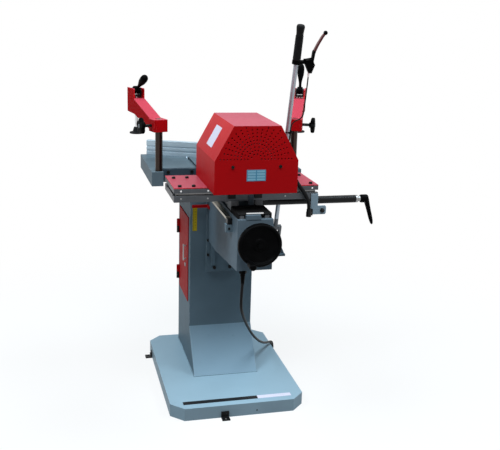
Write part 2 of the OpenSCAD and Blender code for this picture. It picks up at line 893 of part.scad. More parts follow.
module lock_tube() {
    r = tube_d / 2;
    color(black) difference() {
        union() {
            rod_x([tube_x0, tube_y, tube_z], r, tube_reach - tube_x0);
            box([tube_x0, tube_y - r - 4, tube_z], [tube_x0 + 26, tube_y + r + 4, plate_z]);
        }
        rod_x([tube_x0 - cut, tube_y, tube_z], lock_rod_d / 2 + run_gap, tube_reach - tube_x0 + 2 * cut);
    }
}

module end_bracket() {
    x0 = plate_w / 2 - 24;
    x1 = plate_w / 2;
    y1 = plate_y;
    y0 = plate_y - 4;
    z0 = plate_z - 52;
    ear = 29;
    color(paint_grey) {
        difference() {
            union() {
                box([x0, y0, z0], [x1, y1, lower_top - 4]);
                box([x1 - cut, y0, z0], [x1 + ear - 9, y1, z0 + ear]);
                prism_y(y0, y1, [
                    [x1 + ear - 9 - cut, z0], [x1 + ear - 3, z0], [x1 + ear, z0 + 5],
                    [x1 + ear, z0 + ear - 5], [x1 + ear - 3, z0 + ear], [x1 + ear - 9 - cut, z0 + ear]
                ]);
            }
        }
        box([2, y0, plate_z - 14], [20, y1, lower_top - 3]);
    }
}

module slide_fittings() {
    x1 = plate_w / 2;
    y0 = plate_y - 4;
    z0 = plate_z - 52;
    color(black) {
        screw_y([x1 + 15, y0, z0 + 14], 7, 10);
        rod_z([200, -347, 712], 8.5, 24);
        box([200, -343, 714], [x1 - 20, y0, 734]);
        for (x = [-52, 34]) box([x - 12, plate_y - 6, lower_top - 12], [x + 12, plate_y, lower_top + 3]);
    }
}

module lock_lever() {
    hub_x = tube_reach + ring_l;
    color(steel) {
        rod_x([tube_x0 + 4, tube_y, tube_z], lock_rod_d / 2, hub_x - tube_x0 - 4);
        rod_x([tube_reach + slide_gap, tube_y, tube_z], 9, ring_l - slide_gap);
    }
    color(black) {
        rod_x([hub_x, tube_y, tube_z], 14, 28);
        translate([hub_x + 22, tube_y, tube_z]) rotate([0, 163, 0]) rotate_extrude() polygon([
            [0, 0], [10, 0], [8, 22], [7, 60], [9, 80], [8, 86], [4, 90], [0, 90]
        ]);
    }
}

// Upper slide
module upper_plate() {
    color(paint_light) box([-plate_w / 2, plate_y, upper_z], [plate_w / 2, plate_far_y, cover_z]);
}

module long_rails() {
    color(steel) for (y = long_rail_y)
        box([-plate_w / 2 + 7, y - long_rail_w / 2, upper_z - long_rail_h],
            [plate_w / 2 - 7, y + long_rail_w / 2, upper_z]);
}

module top_cover() {
    color(paint_red) box([-plate_w / 2, plate_y, cover_z], [plate_w / 2, plate_far_y, top_z]);
}

module top_fittings() {
    color(black) {
        for (s = [-1, 1])
            for (x = [plate_w / 2 - 65, plate_w / 2 - 21])
                for (y = [plate_y + 18, plate_far_y - 47]) screw_z([s * x, y, top_z], 6, 6);
        for (s = [-1, 1]) screw_y([s * 74, hood_y, axis_z - 9], 5, 4);
        rod_x(motor_gland, motor_gland_r, 10);
        translate(motor_gland + [10, 0, 0]) {
            sphere(r = motor_gland_r + 0.4);
            rotate([0, 90 + motor_gland_dip, 0]) cylinder(r = motor_gland_r, h = 9.8);
        }
    }
}

function hood_half(z) =
    z < hood_side_h ? hood_w / 2
    : hood_w / 2 - (hood_w - hood_top_w) / 2 * (z - hood_side_h) / (hood_h - hood_side_h);

module hood_solid(inset) {
    w = hood_w / 2 - inset;
    t = hood_top_w / 2 - inset * 0.5;
    prism_y(hood_y + inset, hood_far_y - inset, [
        [-w, top_z - (inset > 0 ? cut : 0)], [w, top_z - (inset > 0 ? cut : 0)],
        [w, top_z + hood_side_h - inset * 0.5], [t, top_z + hood_h - inset],
        [-t, top_z + hood_h - inset], [-w, top_z + hood_side_h - inset * 0.5]
    ]);
}

module vent_holes() {
    for (i = [0 : vent_rings - 1]) {
        r = vent_first_r + vent_step * i;
        count = floor(PI * r / vent_gap);
        for (k = [0 : count]) {
            a = 180 * k / count;
            z = vent_z + r * sin(a);
            if (abs(r * cos(a)) < hood_half(z - top_z) - 12)
                rod_y([r * cos(a), hood_y - cut, z], vent_d / 2, hood_sheet + 2 * cut);
        }
    }
}

module hood_shell() {
    color(paint_red) difference() {
        hood_solid(0);
        hood_solid(hood_sheet);
        vent_holes();
        rod_y([0, hood_far_y - hood_sheet - cut, axis_z], chuck_d / 2 + 8, hood_sheet + 2 * cut);
    }
}

module motor_housing() {
    r = motor_d / 2;
    color(dark_steel) difference() {
        union() {
            rod_y([0, motor_y0, axis_z], r, motor_l);
            box([-62, motor_y0 + 20, top_z], [62, motor_y0 + motor_l - 20, top_z + 14]);
            for (s = [-1, 1])
                box([s * 46 - 7, motor_y0 + 20, top_z + 13],
                    [s * 46 + 7, motor_y0 + motor_l - 20, axis_z - r * 0.6]);
        }
        rod_y([0, motor_y0 + motor_wall, axis_z], r - motor_wall, motor_l - 2 * motor_wall);
        rod_y([0, motor_y0 - cut, axis_z], motor_shaft_d / 2 + run_gap, motor_l + 2 * cut);
    }
}

module motor_rotor() {
    color(steel) {
        rod_y([0, motor_y0 - 22, axis_z], motor_shaft_d / 2, chuck_y0 - motor_y0 + 22);
        rod_y([0, motor_y0 + motor_wall + 20, axis_z],
            motor_d / 2 - motor_wall - 4, motor_l - 2 * motor_wall - 40);
        for (a = [0 : 45 : 315])
            translate([0, motor_y0 - 20, axis_z]) rotate([0, a, 0]) box([11, 0, -1.5], [60, 16, 1.5]);
    }
}

module drill_chuck() {
    r = chuck_d / 2;
    color(steel) difference() {
        translate([0, chuck_y0, axis_z]) rotate([-90, 0, 0]) rotate_extrude() polygon([
            [0, 0], [r - 4, 0], [r - 4, 18], [r, 20], [r, 46], [r - 3, 49], [14, chuck_l], [0, chuck_l]
        ]);
        rod_y([0, chuck_y0 + chuck_l - 40, axis_z], chuck_bore_d / 2, 40 + cut);
        for (a = [30, 150, 270])
            translate([0, chuck_y0 + chuck_l - 14, axis_z]) rotate([0, a, 0])
                box([0, 0, -0.8], [r, 14 + cut, 0.8]);
    }
}

module motor_cable() {
    color(black) tube_along(curve(motor_route, 2), motor_cord_d / 2, 10, [0, 1, 0]);
}

// Link plate that takes the upper slide's motion from the lever
module lever_link() {
    half = bar_d / 2 + 9.5;
    y = lever_link_y;
    color(dark_steel) difference() {
        box([lever_x - half - 12, plate_far_y - 36, link_z],
            [lever_x + half + 12, y + half + 8, link_z + link_t]);
        box([lever_x - half, y - half, link_z - cut], [lever_x + half, y + half, link_z + link_t + cut]);
    }
}

// Lever, drawn upright and then leaned about its pivot
module lever_place() {
    translate(lever_pivot) rotate([lever_tilt, 0, 0]) children();
}

module lever_yoke() {
    pin = fork_in + fork_t;
    color(steel) {
        translate(lever_pivot) rod_y([0, -pin, 0], yoke_pin_r, 2 * pin);
        lever_place() {
            box([-yoke_half, -10, -10], [yoke_half, 10, 10]);
            rod_x([-pin, 0, 0], yoke_pin_r, 2 * pin);
        }
    }
}

module lever_bar() {
    w = fork_in + fork_t;
    color(steel) lever_place() difference() {
        union() {
            for (s = [-1, 1])
                box([s * (fork_in + fork_t / 2) - fork_t / 2, -fork_half, -12],
                    [s * (fork_in + fork_t / 2) + fork_t / 2, fork_half, 44]);
            box([-w, -fork_half, 32], [w, fork_half, 46]);
            rod_z([0, 0, 45], bar_d / 2, bar_l + core_l - 45);
            box([0, -4, brake_stop_z - 12], [brake_cable_x + 4, 4, brake_stop_z]);
        }
        rod_x([-40, 0, 0], yoke_pin_r + run_gap, 80);
    }
}

module lever_grip() {
    r = grip_d / 2;
    color(black) lever_place() difference() {
        translate([0, 0, bar_l + ring_h + 1]) rotate_extrude() polygon([
            [0, 0], [r - 0.5, 0], [r, 6], [r + 0.4, 34], [r, 62], [r - 1, grip_l - 26], [r + 0.8, grip_l - 8],
            [r + 0.8, grip_l - 3], [r - 1.5, grip_l], [0, grip_l]
        ]);
        rod_z([0, 0, bar_l], bar_d / 2, core_l);
    }
}

module brake_mount() {
    p = brake_pivot;
    half = brake_arm_w / 2 + slide_gap;
    wall = 2.7;
    color(black) lever_place() difference() {
        union() {
            rod_z([0, 0, bar_l], 14, ring_h);
            box([10, -6, bar_l + 1], [32, 6, bar_l + ring_h]);
            rod_z([27, 0, bar_l + ring_h - 1], 4.5, 6);
            prism_y(-half - wall, half + wall, [
                [29, bar_l + 14], [40, bar_l + 16], [44.5, bar_l + 14], [44.5, bar_l - 2.5],
                [61, bar_l - 2.5], [53.6, bar_l - 29], [43.7, bar_l - 29], [30.4, bar_l - 4]
            ]);
            for (y0 = [-half - wall, half])
                prism_y(y0, y0 + wall, [
                    [40, bar_l + 16], [50, bar_l + 18], [61.5, bar_l - 1], [60, bar_l - 6], [43, bar_l - 6]
                ]);
            rod_z([adjust_x, 0, bar_l - 36], 4, 8);
            rod_z([adjust_x, 0, bar_l - 43], 3, 8);
        }
        rod_z([0, 0, bar_l - cut], bar_d / 2, ring_h + 2 * cut);
        rod_y([p[0], -20, p[2]], brake_pin_r + run_gap, 40);
    }
}

module brake_cable() {
    color(black) lever_place() tube_along(curve(brake_route, 6), brake_cord_d / 2, 8, [0, 1, 0]);
}

module brake_blade() {
    p = brake_pivot;
    half = brake_arm_w / 2;
    pin = half + slide_gap + 2.7;
    color(black) lever_place() {
        rod_y([p[0], -pin, p[2]], brake_pin_r, 2 * pin);
        rod_y([p[0], -half, p[2]], 6, 2 * half);
        prism_y(-half, half, [
            [48.5, bar_l + 2], [56, bar_l + 2], [58, bar_l + 36], [67, bar_l + 63], [79, bar_l + 89],
            [86, bar_l + 100], [82, bar_l + 104], [74, bar_l + 94], [61, bar_l + 67], [50, bar_l + 40]
        ]);
        translate([84.5, 0, bar_l + 102.5]) sphere(r = 7);
    }
}

// Hold-down clamps, drawn along +Y from the post and then swung out
module clamp_place(side) {
    translate([side * post_x, post_y, 0]) rotate([0, 0, side < 0 ? left_swing : -right_swing]) children();
}

module clamp_post(side) {
    color(steel) clamp_place(side) difference() {
        rod_z([0, 0, table_z - post_seat], post_d / 2, post_h + post_seat);
        rod_z([0, 0, table_z + post_h - 6], 4, 7);
    }
}

module clamp_arm(side) {
    z0 = block_z;
    z1 = block_z + arm_block_h;
    half = arm_w / 2;
    knob_z = block_z + arm_block_h / 2;
    cheek_z = pocket_z + cheek_h;
    color(paint_red) clamp_place(side) difference() {
        union() {
            prism_x(arm_w, [
                [-block_half, z0], [16, z0], [arm_reach - 26, pocket_z - 53], [arm_end - 20, pocket_z - 51],
                [arm_end, pocket_z - 49], [arm_end, cheek_z], [arm_end - cheek_l + 4, cheek_z],
                [arm_end - cheek_l, cheek_z - 4], [arm_end - cheek_l, pocket_z], [30, z1], [-block_half, z1]
            ]);
            box([side < 0 ? -half - boss_t : half - cut, -block_half + 2, z0],
                [side < 0 ? -half + cut : half + boss_t, block_half - 5, z1]);
        }
        box([-pocket_w / 2, arm_end - cheek_l - cut, pocket_z], [pocket_w / 2, arm_end + cut, cheek_z + cut]);
        rod_z([0, 0, z0 - cut], post_d / 2 + run_gap, arm_block_h + 2 * cut);
        rod_z([0, arm_reach, pocket_z - 90], spindle_d / 2 + run_gap, 100);
        rod_x([side < 0 ? -half - boss_t - cut : 0, 0, knob_z], 5 + run_gap, half + boss_t + cut);
    }
}

module clamp_spindle(side) {
    eye = cam_l / 2 + slide_gap;
    color(steel) clamp_place(side) translate([0, arm_reach, 0]) rotate([0, 0, -90]) difference() {
        union() {
            rod_z([0, 0, foot_z], spindle_d / 2, pocket_z + 8 - foot_z);
            box([-11, -eye - clevis_t, pocket_z + 5], [11, eye + clevis_t, pocket_z + 12]);
            for (y0 = [-eye - clevis_t, eye])
                box([-11, y0, pocket_z + 11], [11, y0 + clevis_t, cam_z + 8]);
        }
        rod_y([0, -40, cam_z], cam_pin_r + run_gap, 80);
    }
    color(black) clamp_place(side) translate([0, arm_reach, 0]) rotate_extrude() polygon([
        [0, foot_z - 10], [foot_d / 2, foot_z - 10], [foot_d / 2, foot_z - 5], [13, foot_z - 2],
        [10, foot_z + 12], [spindle_d / 2, foot_z + 14], [spindle_d / 2, foot_z], [0, foot_z]
    ]);
}

module clamp_cam(side, lean) {
    color(black) clamp_place(side) translate([0, arm_reach, cam_z]) rotate([0, 0, -90]) {
        rod_y([0, -cam_l / 2 - slide_gap - clevis_t, 0], cam_pin_r, cam_l + 2 * slide_gap + 2 * clevis_t);
        difference() {
            union() {
                rod_y([0, -cam_l / 2, 0], cam_r, cam_l);
                rotate([0, lean, 0]) rotate_extrude() polygon([
                    [0, 0], [5, 0], [5, 26], [7, 38], [12, 58], [13.5, 76], [12.5, 90], [8, 97], [0, 99]
                ]);
            }
            rod_y([0, -cam_l, 0], cam_pin_r, 2 * cam_l);
        }
    }
}

module clamp_knob(side) {
    z = block_z + arm_block_h / 2;
    r = knob_d / 2;
    base = boss_t + knob_gap;
    color(black) clamp_place(side) translate([side * arm_w / 2, 0, z]) rotate([0, side * 90, 0]) {
        rod_z([0, 0, -6], 5, base + 8);
        difference() {
            translate([0, 0, base]) rotate_extrude() polygon([
                [0, 0], [9, 0], [10, 4], [r - 3, 6], [r, 9], [r, 16], [r - 4, 19], [0, 20]
            ]);
            for (a = [0 : 72 : 288]) rotate([0, 0, a + 36]) rod_z([r + 6, 0, base - cut], 11, 30);
        }
    }
}

module left_post() { clamp_post(-1); }
module left_arm() { clamp_arm(-1); }
module left_spindle() { clamp_spindle(-1); }
module left_cam() { clamp_cam(-1, left_cam_lean); }
module left_knob() { clamp_knob(-1); }
module right_post() { clamp_post(1); }
module right_arm() { clamp_arm(1); }
module right_spindle() { clamp_spindle(1); }
module right_cam() { clamp_cam(1, right_cam_lean); }
module right_knob() { clamp_knob(1); }

// Fence on its bolt in the groove
module fence() {
    pivot_y = table_y + fence_pin_inset;
    left = 157;
    color("#9aa7ae") translate([groove_x, pivot_y, table_z]) {
        rotate([0, 0, -fence_angle]) difference() {
            box([-left, 0, slide_gap], [fence_l - left, fence_t, fence_h]);
            for (z = [14, 30])
                box([-left - cut, -cut, z], [fence_l - left + cut, 4, z + 6]);
            box([-left - cut, 8, 10], [fence_l - left + cut, fence_t + cut, fence_h - 10]);
        }
        rod_z([0, 0, 1 - groove_h], groove_w / 2 - 1, groove_h - 1 + slide_gap);
    }
}

// Mains cable, its coil and plug
coil_start = [coil_centre[0], coil_centre[1] - coil_r, coil_z];
function coil_radius(a) =
    a < coil_turns / 2 ? coil_r - coil_pitch * a : coil_r - coil_pitch * (coil_turns - a);
function coil_climb(a) = min(max((a - coil_turns / 2 + 0.25) / 0.5, 0), 1);
function coil_point(a) = [
    coil_centre[0] + coil_radius(a) * cos(-90 - 360 * a),
    coil_centre[1] + coil_radius(a) * sin(-90 - 360 * a),
    coil_z + coil_layer * coil_climb(a)
];
coil_steps = coil_turns * coil_rings;
coil_turned = [for (i = [0 : coil_steps]) coil_point(i / coil_rings)];
coil_out = [coil_centre[0], coil_centre[1] + coil_r, coil_z + coil_layer];
coil_path = concat(
    [coil_start + [coil_lead, 0, 0], coil_start + [coil_lead - cord_d, 0, 0], coil_start + [14, 0, 0]],
    coil_turned,
    [coil_out + [16, 0, 0.6], coil_out + [32, 0, 2.4], [plug_x - cord_d, coil_out[1], plug_z],
        [plug_x, coil_out[1], plug_z]]
);
coil_gap = min([
    for (i = [0 : coil_steps])
        for (j = [i + coil_rings / 2 : 1 : coil_steps])
            norm(coil_turned[i] - coil_turned[j]) - cord_d
]);
echo(coil_gap = coil_gap);

module mains_cord() {
    color(black) tube_along(curve(mains_route, 4), cord_d / 2, 10, [0, 1, 0]);
}

module cord_coil() {
    color(black) tube_along(coil_path, cord_d / 2, 6, [0, 0, 1]);
}

module mains_plug() {
    y = coil_out[1];
    color(black) {
        translate([plug_x, y, plug_z]) rotate([0, 90, 0]) rotate_extrude() polygon([
            [0, 0], [6, 0], [9, 12], [plug_r - 2, 16], [plug_r, 20], [plug_r, plug_l + 14], [0, plug_l + 14]
        ]);
    }
    color(steel) for (s = [-1, 1]) rod_x([plug_x + plug_l + 14, y + s * 9.5, plug_z], 2.4, 19);
}

base_pan();
anchor_brackets();
column_shell();
guide_plate();
lift_guide();
height_scale();
work_table();
table_apron();
stand_bolts();
door_hinges();
mains_cord();
cord_coil();
mains_plug();
door_panel();
door_handle();
knee_box();
guide_shoes();
knee_pointer();
cross_rails();
depth_stop();
bellows();
lever_bracket();
cord_gland();
handwheel();
lift_shaft();
wheel_handle();
lower_plate();
cross_shoes();
slide_blocks();
lock_tube();
end_bracket();
slide_fittings();
lock_lever();
upper_plate();
long_rails();
top_cover();
top_fittings();
hood_shell();
motor_housing();
motor_cable();
lever_link();
motor_rotor();
drill_chuck();
lever_yoke();
lever_bar();
lever_grip();
brake_mount();
brake_cable();
brake_blade();
left_post();
left_arm();
left_spindle();
left_cam();
left_knob();
right_post();
right_arm();
right_spindle();
right_cam();
right_knob();
fence();
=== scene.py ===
"""Looks of a horizontal slot mortiser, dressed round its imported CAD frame.

Sizes are in millimetres in the frame's own axes: X to the right of the motor
side, Y towards the work table, Z up from the floor. Meshes are made in metres.
"""

from __future__ import annotations

import json
import logging
import math
from dataclasses import dataclass, replace
from enum import Enum
from typing import Callable, Sequence

import bmesh
import bpy
from mathutils import Matrix, Vector

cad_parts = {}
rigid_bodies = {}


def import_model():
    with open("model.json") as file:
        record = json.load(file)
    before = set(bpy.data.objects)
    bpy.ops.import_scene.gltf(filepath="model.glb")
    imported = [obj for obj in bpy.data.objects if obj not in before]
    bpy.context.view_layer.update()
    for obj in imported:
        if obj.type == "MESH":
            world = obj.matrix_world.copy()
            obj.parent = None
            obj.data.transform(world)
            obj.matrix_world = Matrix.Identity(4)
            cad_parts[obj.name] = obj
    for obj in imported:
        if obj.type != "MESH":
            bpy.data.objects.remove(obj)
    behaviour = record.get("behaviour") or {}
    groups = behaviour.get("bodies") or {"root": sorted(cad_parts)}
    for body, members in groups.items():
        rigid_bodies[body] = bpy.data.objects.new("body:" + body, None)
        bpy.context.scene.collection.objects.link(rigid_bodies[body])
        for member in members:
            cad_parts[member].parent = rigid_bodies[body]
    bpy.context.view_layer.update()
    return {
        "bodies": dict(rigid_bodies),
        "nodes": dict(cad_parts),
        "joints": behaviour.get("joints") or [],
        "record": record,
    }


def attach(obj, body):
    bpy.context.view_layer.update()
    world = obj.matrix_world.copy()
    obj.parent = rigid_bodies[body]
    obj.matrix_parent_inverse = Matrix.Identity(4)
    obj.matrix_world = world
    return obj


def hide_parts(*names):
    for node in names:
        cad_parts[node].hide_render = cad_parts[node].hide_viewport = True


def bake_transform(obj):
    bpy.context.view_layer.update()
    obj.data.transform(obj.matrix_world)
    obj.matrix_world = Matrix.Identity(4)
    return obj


LOG = logging.getLogger("mortiser")
MM = 0.001
Colour = tuple[float, float, float]
Pair = Sequence[float]
Spot = tuple[Pair, Vector]
Test = Callable[[Vector, Vector], bool]

# An outline in Y and Z drawn along X, and an outline in X and Z drawn along Y
SIDE = Matrix(((0, 0, 1, 0), (1, 0, 0, 0), (0, 1, 0, 0), (0, 0, 0, 1)))
FRONT = Matrix(((1, 0, 0, 0), (0, 0, 1, 0), (0, 1, 0, 0), (0, 0, 0, 1)))


class Along(Enum):
    """Direction in which a turned shape points."""

    X = (1.0, 0.0, 0.0)
    NEG_X = (-1.0, 0.0, 0.0)
    Y = (0.0, 1.0, 0.0)
    NEG_Y = (0.0, -1.0, 0.0)
    Z = (0.0, 0.0, 1.0)
    NEG_Z = (0.0, 0.0, -1.0)

    def at(self, x: float, y: float, z: float) -> Matrix:
        """Place whose own Z points this way, with its origin at a point."""
        turn = Vector(self.value).to_track_quat("Z", "Y").to_matrix().to_4x4()
        return Matrix.Translation((x, y, z)) @ turn

    def spots(self, *points: Pair) -> list[Spot]:
        """Spots at these points that all face this way."""
        return [(point, Vector(self.value)) for point in points]


def around(steps: int) -> list[float]:
    """Angles once round a circle, in radians."""
    return [2 * math.pi * k / steps for k in range(steps)]


def shift(x: float, y: float, z: float) -> Matrix:
    """Move without a turn."""
    return Matrix.Translation((x, y, z))


def turned(angle: float, axis: str) -> Matrix:
    """Turn by an angle in degrees about an axis named X, Y or Z."""
    return Matrix.Rotation(math.radians(angle), 4, axis)


def rounded(points: Sequence[Pair], radius: float, closed: bool = False, steps: int = 3) -> list[Vector]:
    """Rounds the corners of a flat line.

    Args:
        points: Corners as pairs.
        radius: How far from each corner its curve starts.
        closed: Whether the last point joins the first.
        steps: Pieces in each curve.

    Returns:
        The points of the rounded line.
    """
    line = [Vector(p) for p in points]
    count = len(line)
    made: list[Vector] = []
    for i, corner in enumerate(line):
        if not closed and i in (0, count - 1):
            made.append(corner)
            continue
        before, after = line[i - 1] - corner, line[(i + 1) % count] - corner
        start = corner + before * min(radius / max(before.length, 1e-9), 0.45)
        end = corner + after * min(radius / max(after.length, 1e-9), 0.45)
        for k in range(steps + 1):
            t = k / steps
            made.append(start * (1 - t) ** 2 + corner * 2 * t * (1 - t) + end * t * t)
    return made


def smooth_path(points: Sequence[Pair], pieces: int) -> list[Vector]:
    """Smooth line through points, the same curve that the CAD cables follow.

    Args:
        points: Points in space that the line passes through.
        pieces: Straight pieces between two points.

    Returns:
        The points of the line, with both ends.
    """
    p = [Vector(q) for q in points]
    last = len(p) - 1
    made: list[Vector] = []
    for i in range(last):
        a, b, c, d = p[max(i - 1, 0)], p[i], p[i + 1], p[min(i + 2, last)]
        for j in range(pieces):
            t = j / pieces
            square, cube = 2 * a - 5 * b + 4 * c - d, 3 * b - a - 3 * c + d
            made.append(0.5 * (2 * b + (c - a) * t + square * t**2 + cube * t**3))
    return made + [p[last]]


class Value:
    """One output in a node tree, with the sums that finishes and recipes need."""

    def __init__(self, graph: Graph, socket: bpy.types.NodeSocket | None) -> None:
        """Keeps the tree and the socket."""
        self.graph = graph
        self.socket = socket

    def maths(self, operation: str, other: object = 0.0) -> Value:
        """One Math node on this value and another one or a number."""
        return self.graph.node("ShaderNodeMath", {"operation": operation}, {0: self, 1: other})

    def __add__(self, other: object) -> Value:
        """This value plus another."""
        return self.maths("ADD", other)

    def __sub__(self, other: object) -> Value:
        """This value less another."""
        return self.maths("SUBTRACT", other)

    def __rsub__(self, other: object) -> Value:
        """A number less this value."""
        return self.graph.node("ShaderNodeMath", {"operation": "SUBTRACT"}, {0: other, 1: self})

    def __mul__(self, other: object) -> Value:
        """This value times another."""
        return self.maths("MULTIPLY", other)

    __radd__, __rmul__ = __add__, __mul__

    def band(self, low: float, high: float) -> Value:
        """A soft step from 0 at low to 1 at high."""
        ends = {"Value": self, "From Min": low, "From Max": high, "To Min": 0.0, "To Max": 1.0}
        return self.graph.node("ShaderNodeMapRange", {"interpolation_type": "SMOOTHSTEP"}, ends)


class Graph:
    """A node tree that is made one node at a time."""

    def __init__(self, tree: bpy.types.NodeTree) -> None:
        """Empties the tree."""
        self.nodes, self.links = tree.nodes, tree.links
        self.nodes.clear()

    def node(
        self, kind: str, settings: dict | None = None, sockets: dict | None = None, out: str = ""
    ) -> Value:
        """Makes a node.

        Args:
            kind: The node's type.
            settings: Its settings, set first.
            sockets: Numbers or Values for its inputs, by name or index.
            out: Name of the output to give back, or the first one in use.

        Returns:
            That output.
        """
        made = self.nodes.new(kind)
        for key, value in (settings or {}).items():
            setattr(made, key, value)
        for key, value in (sockets or {}).items():
            if isinstance(value, Value):
                self.links.new(value.socket, made.inputs[key])
            else:
                made.inputs[key].default_value = value
        outputs = [o for o in made.outputs if o.enabled and out in ("", o.name)]
        return Value(self, outputs[0] if outputs else None)


class Tree(Graph):
    """Node tree of one material or world."""

    def __init__(self, owner: bpy.types.ID) -> None:
        """Empties the tree of a material or world."""
        owner.use_nodes = True
        super().__init__(owner.node_tree)

    def spot(self, stretch: Pair = (1.0, 1.0, 1.0)) -> Value:
        """Object coordinates, stretched along each axis."""
        place = self.node("ShaderNodeTexCoord", out="Object")
        return self.node("ShaderNodeMapping", {}, {"Vector": place, "Scale": tuple(stretch)})

    def noise(self, spot: Value, scale: float, detail: float = 2.0, rough: float = 0.5) -> Value:
        """Noise from 0 to 1 with a number of waves per metre."""
        sockets = {"Vector": spot, "Scale": scale, "Detail": detail, "Roughness": rough}
        return self.node("ShaderNodeTexNoise", {}, sockets)

    def mix(self, share: Value, first: object, second: object) -> Value:
        """Colour between two colours.

        Args:
            share: How far from the first to the second.
            first: A colour or a Value.
            second: A colour or a Value.

        Returns:
            The mixed colour.
        """
        ends = {6: first, 7: second}
        for key, colour in ends.items():
            if not isinstance(colour, Value):
                ends[key] = (*colour, 1.0)
        return self.node("ShaderNodeMix", {"data_type": "RGBA"}, {0: share, **ends})

    def shades(self, share: Value, colour: Colour, less: float, more: float) -> Value:
        """A colour that goes from darker by one share to lighter by another."""
        return self.mix(share, tint(colour, -less), tint(colour, more))

    def edge(self) -> Value:
        """1 on the faces that round an edge, 0 elsewhere."""
        return self.node("ShaderNodeAttribute", {"attribute_name": "edge"}, out="Fac")

    def bump(self, height: Value, strength: float, depth: float) -> Value:
        """Normal of a surface raised by a height, with its depth in millimetres."""
        sockets = {"Height": height, "Strength": strength, "Distance": depth * MM}
        return self.node("ShaderNodeBump", {}, sockets)

    def end(self, kind: str, shader: Value) -> None:
        """Leads a shader to the tree's output."""
        self.node(kind, {}, {"Surface": shader})


def tint(colour: Colour, share: float) -> Colour:
    """A colour made lighter or darker by a share."""
    return tuple(min(max(c * (1 + share), 0.0), 1.0) for c in colour)


@dataclass(frozen=True)
class Finish:
    """A surface finish, named for what it covers, with its slot in the record."""

    name: str
    slot: str
    colour: Colour
    rough: float

    def material(self) -> bpy.types.Material:
        """The finish's material, made at its first use.

        Returns:
            The material.
        """
        found = bpy.data.materials.get(self.name)
        if found is None:
            found = bpy.data.materials.new(self.name)
            found.diffuse_color = (*self.colour, 1.0)
            self.shade(Tree(found))
        return found

    def shade(self, tree: Tree) -> None:
        """Makes the finish's nodes."""
        raise NotImplementedError

    @staticmethod
    def close(tree: Tree, sockets: dict) -> None:
        """Ends a tree in one Principled shader with these sockets."""
        tree.end("ShaderNodeOutputMaterial", tree.node("ShaderNodeBsdfPrincipled", {}, sockets))


@dataclass(frozen=True)
class Paint(Finish):
    """Sprayed enamel: faint clouding, orange peel, thin paint along edges, and painted light that makes it
    paler where it faces up.
    """

    gloss: float = 0.3
    peel: float = 0.12
    worn: Colour = (0.5, 0.52, 0.54)
    wear: float = 0.35
    # Colours painted on faces that look up and on sloping faces, as painted light and sheen, not the enamel's
    # own colour.
    settled: Colour | None = None
    slope: Colour | None = None

    def shade(self, tree: Tree) -> None:
        """Makes the paint's nodes.

        Args:
            tree: The material's empty tree.
        """
        spot = tree.spot()
        cloud = tree.noise(spot, 6.0, 3.0)
        grain = tree.noise(spot, 55.0, 5.0, 0.6)
        skin = tree.noise(spot, 480.0, 1.0)
        edge = tree.edge()
        tone = tree.shades(cloud.band(0.3, 0.7), self.colour, 0.07, 0.06)
        # Painted light: upward faces take the slope colour (the top colour if there is none), and near-flat
        # tops take the top colour.
        if self.settled:
            way = tree.node("ShaderNodeNewGeometry", out="True Normal")
            up = tree.node("ShaderNodeSeparateXYZ", {}, {0: way}, out="Z")
            slope = self.slope or self.settled
            tone = tree.mix(up.band(0.1, 0.55), tone, tree.shades(cloud, slope, 0.08, 0.06))
            if self.slope:
                tone = tree.mix(up.band(0.8, 0.96), tone, tree.shades(cloud, self.settled, 0.08, 0.06))
        thin = edge * grain.band(0.42, 0.68) * self.wear
        scuff = grain.band(0.62, 0.8) * 0.18
        self.close(
            tree,
            {
                "Base Color": tree.mix(thin, tree.mix(scuff, tone, tint(self.colour, -0.2)), self.worn),
                "Roughness": self.rough + (grain - 0.5) * 0.16 + thin * 0.15,
                "Specular IOR Level": self.gloss,
                "Normal": tree.bump(skin * 0.7 + grain * 0.3, self.peel, 0.25),
            },
        )


@dataclass(frozen=True)
class Metal(Finish):
    """Bare metal with fine drawn lines along one axis, stains and bright edges."""

    lines: Pair = (1.0, 1.0, 0.03)
    streak: float = 0.16
    bare: float = 1.0

    def shade(self, tree: Tree) -> None:
        """Makes the metal's nodes.

        Args:
            tree: The material's empty tree.
        """
        line = tree.noise(tree.spot(self.lines), 900.0, 3.0)
        stain = tree.noise(tree.spot(), 24.0, 4.0, 0.6)
        edge = tree.edge()
        tone = tree.shades(line.band(0.25, 0.75), self.colour, self.streak, self.streak)
        dull = stain.band(0.5, 0.75) * 0.35
        stained = tree.mix(dull, tone, tint(self.colour, -0.35))
        self.close(
            tree,
            {
                "Base Color": tree.mix(edge * 0.4, stained, tint(self.colour, 0.4)),
                "Metallic": self.bare,
                "Roughness": self.rough + (line - 0.5) * 0.2 + dull * 0.35,
                "Normal": tree.bump(line, 0.08, 0.1),
            },
        )


@dataclass(frozen=True)
class Plastic(Finish):
    """Moulded plastic or black-coated steel with a fine grain and rubbed edges."""

    grain: float = 900.0
    depth: float = 0.15
    gloss: float = 0.4

    def shade(self, tree: Tree) -> None:
        """Makes the plastic's nodes.

        Args:
            tree: The material's empty tree.
        """
        spot = tree.spot()
        fine = tree.noise(spot, self.grain, 2.0)
        smear = tree.noise(spot, 30.0, 4.0, 0.6)
        edge = tree.edge()
        light = tuple(c * 1.9 + 0.004 for c in self.colour)
        shine = smear.band(0.4, 0.75)
        self.close(
            tree,
            {
                "Base Color": tree.mix(shine * 0.35 + edge * 0.3, self.colour, light),
                "Roughness": self.rough + (fine - 0.5) * 0.12 - shine * 0.1,
                "Specular IOR Level": self.gloss,
                "Normal": tree.bump(fine, 0.2, self.depth),
            },
        )


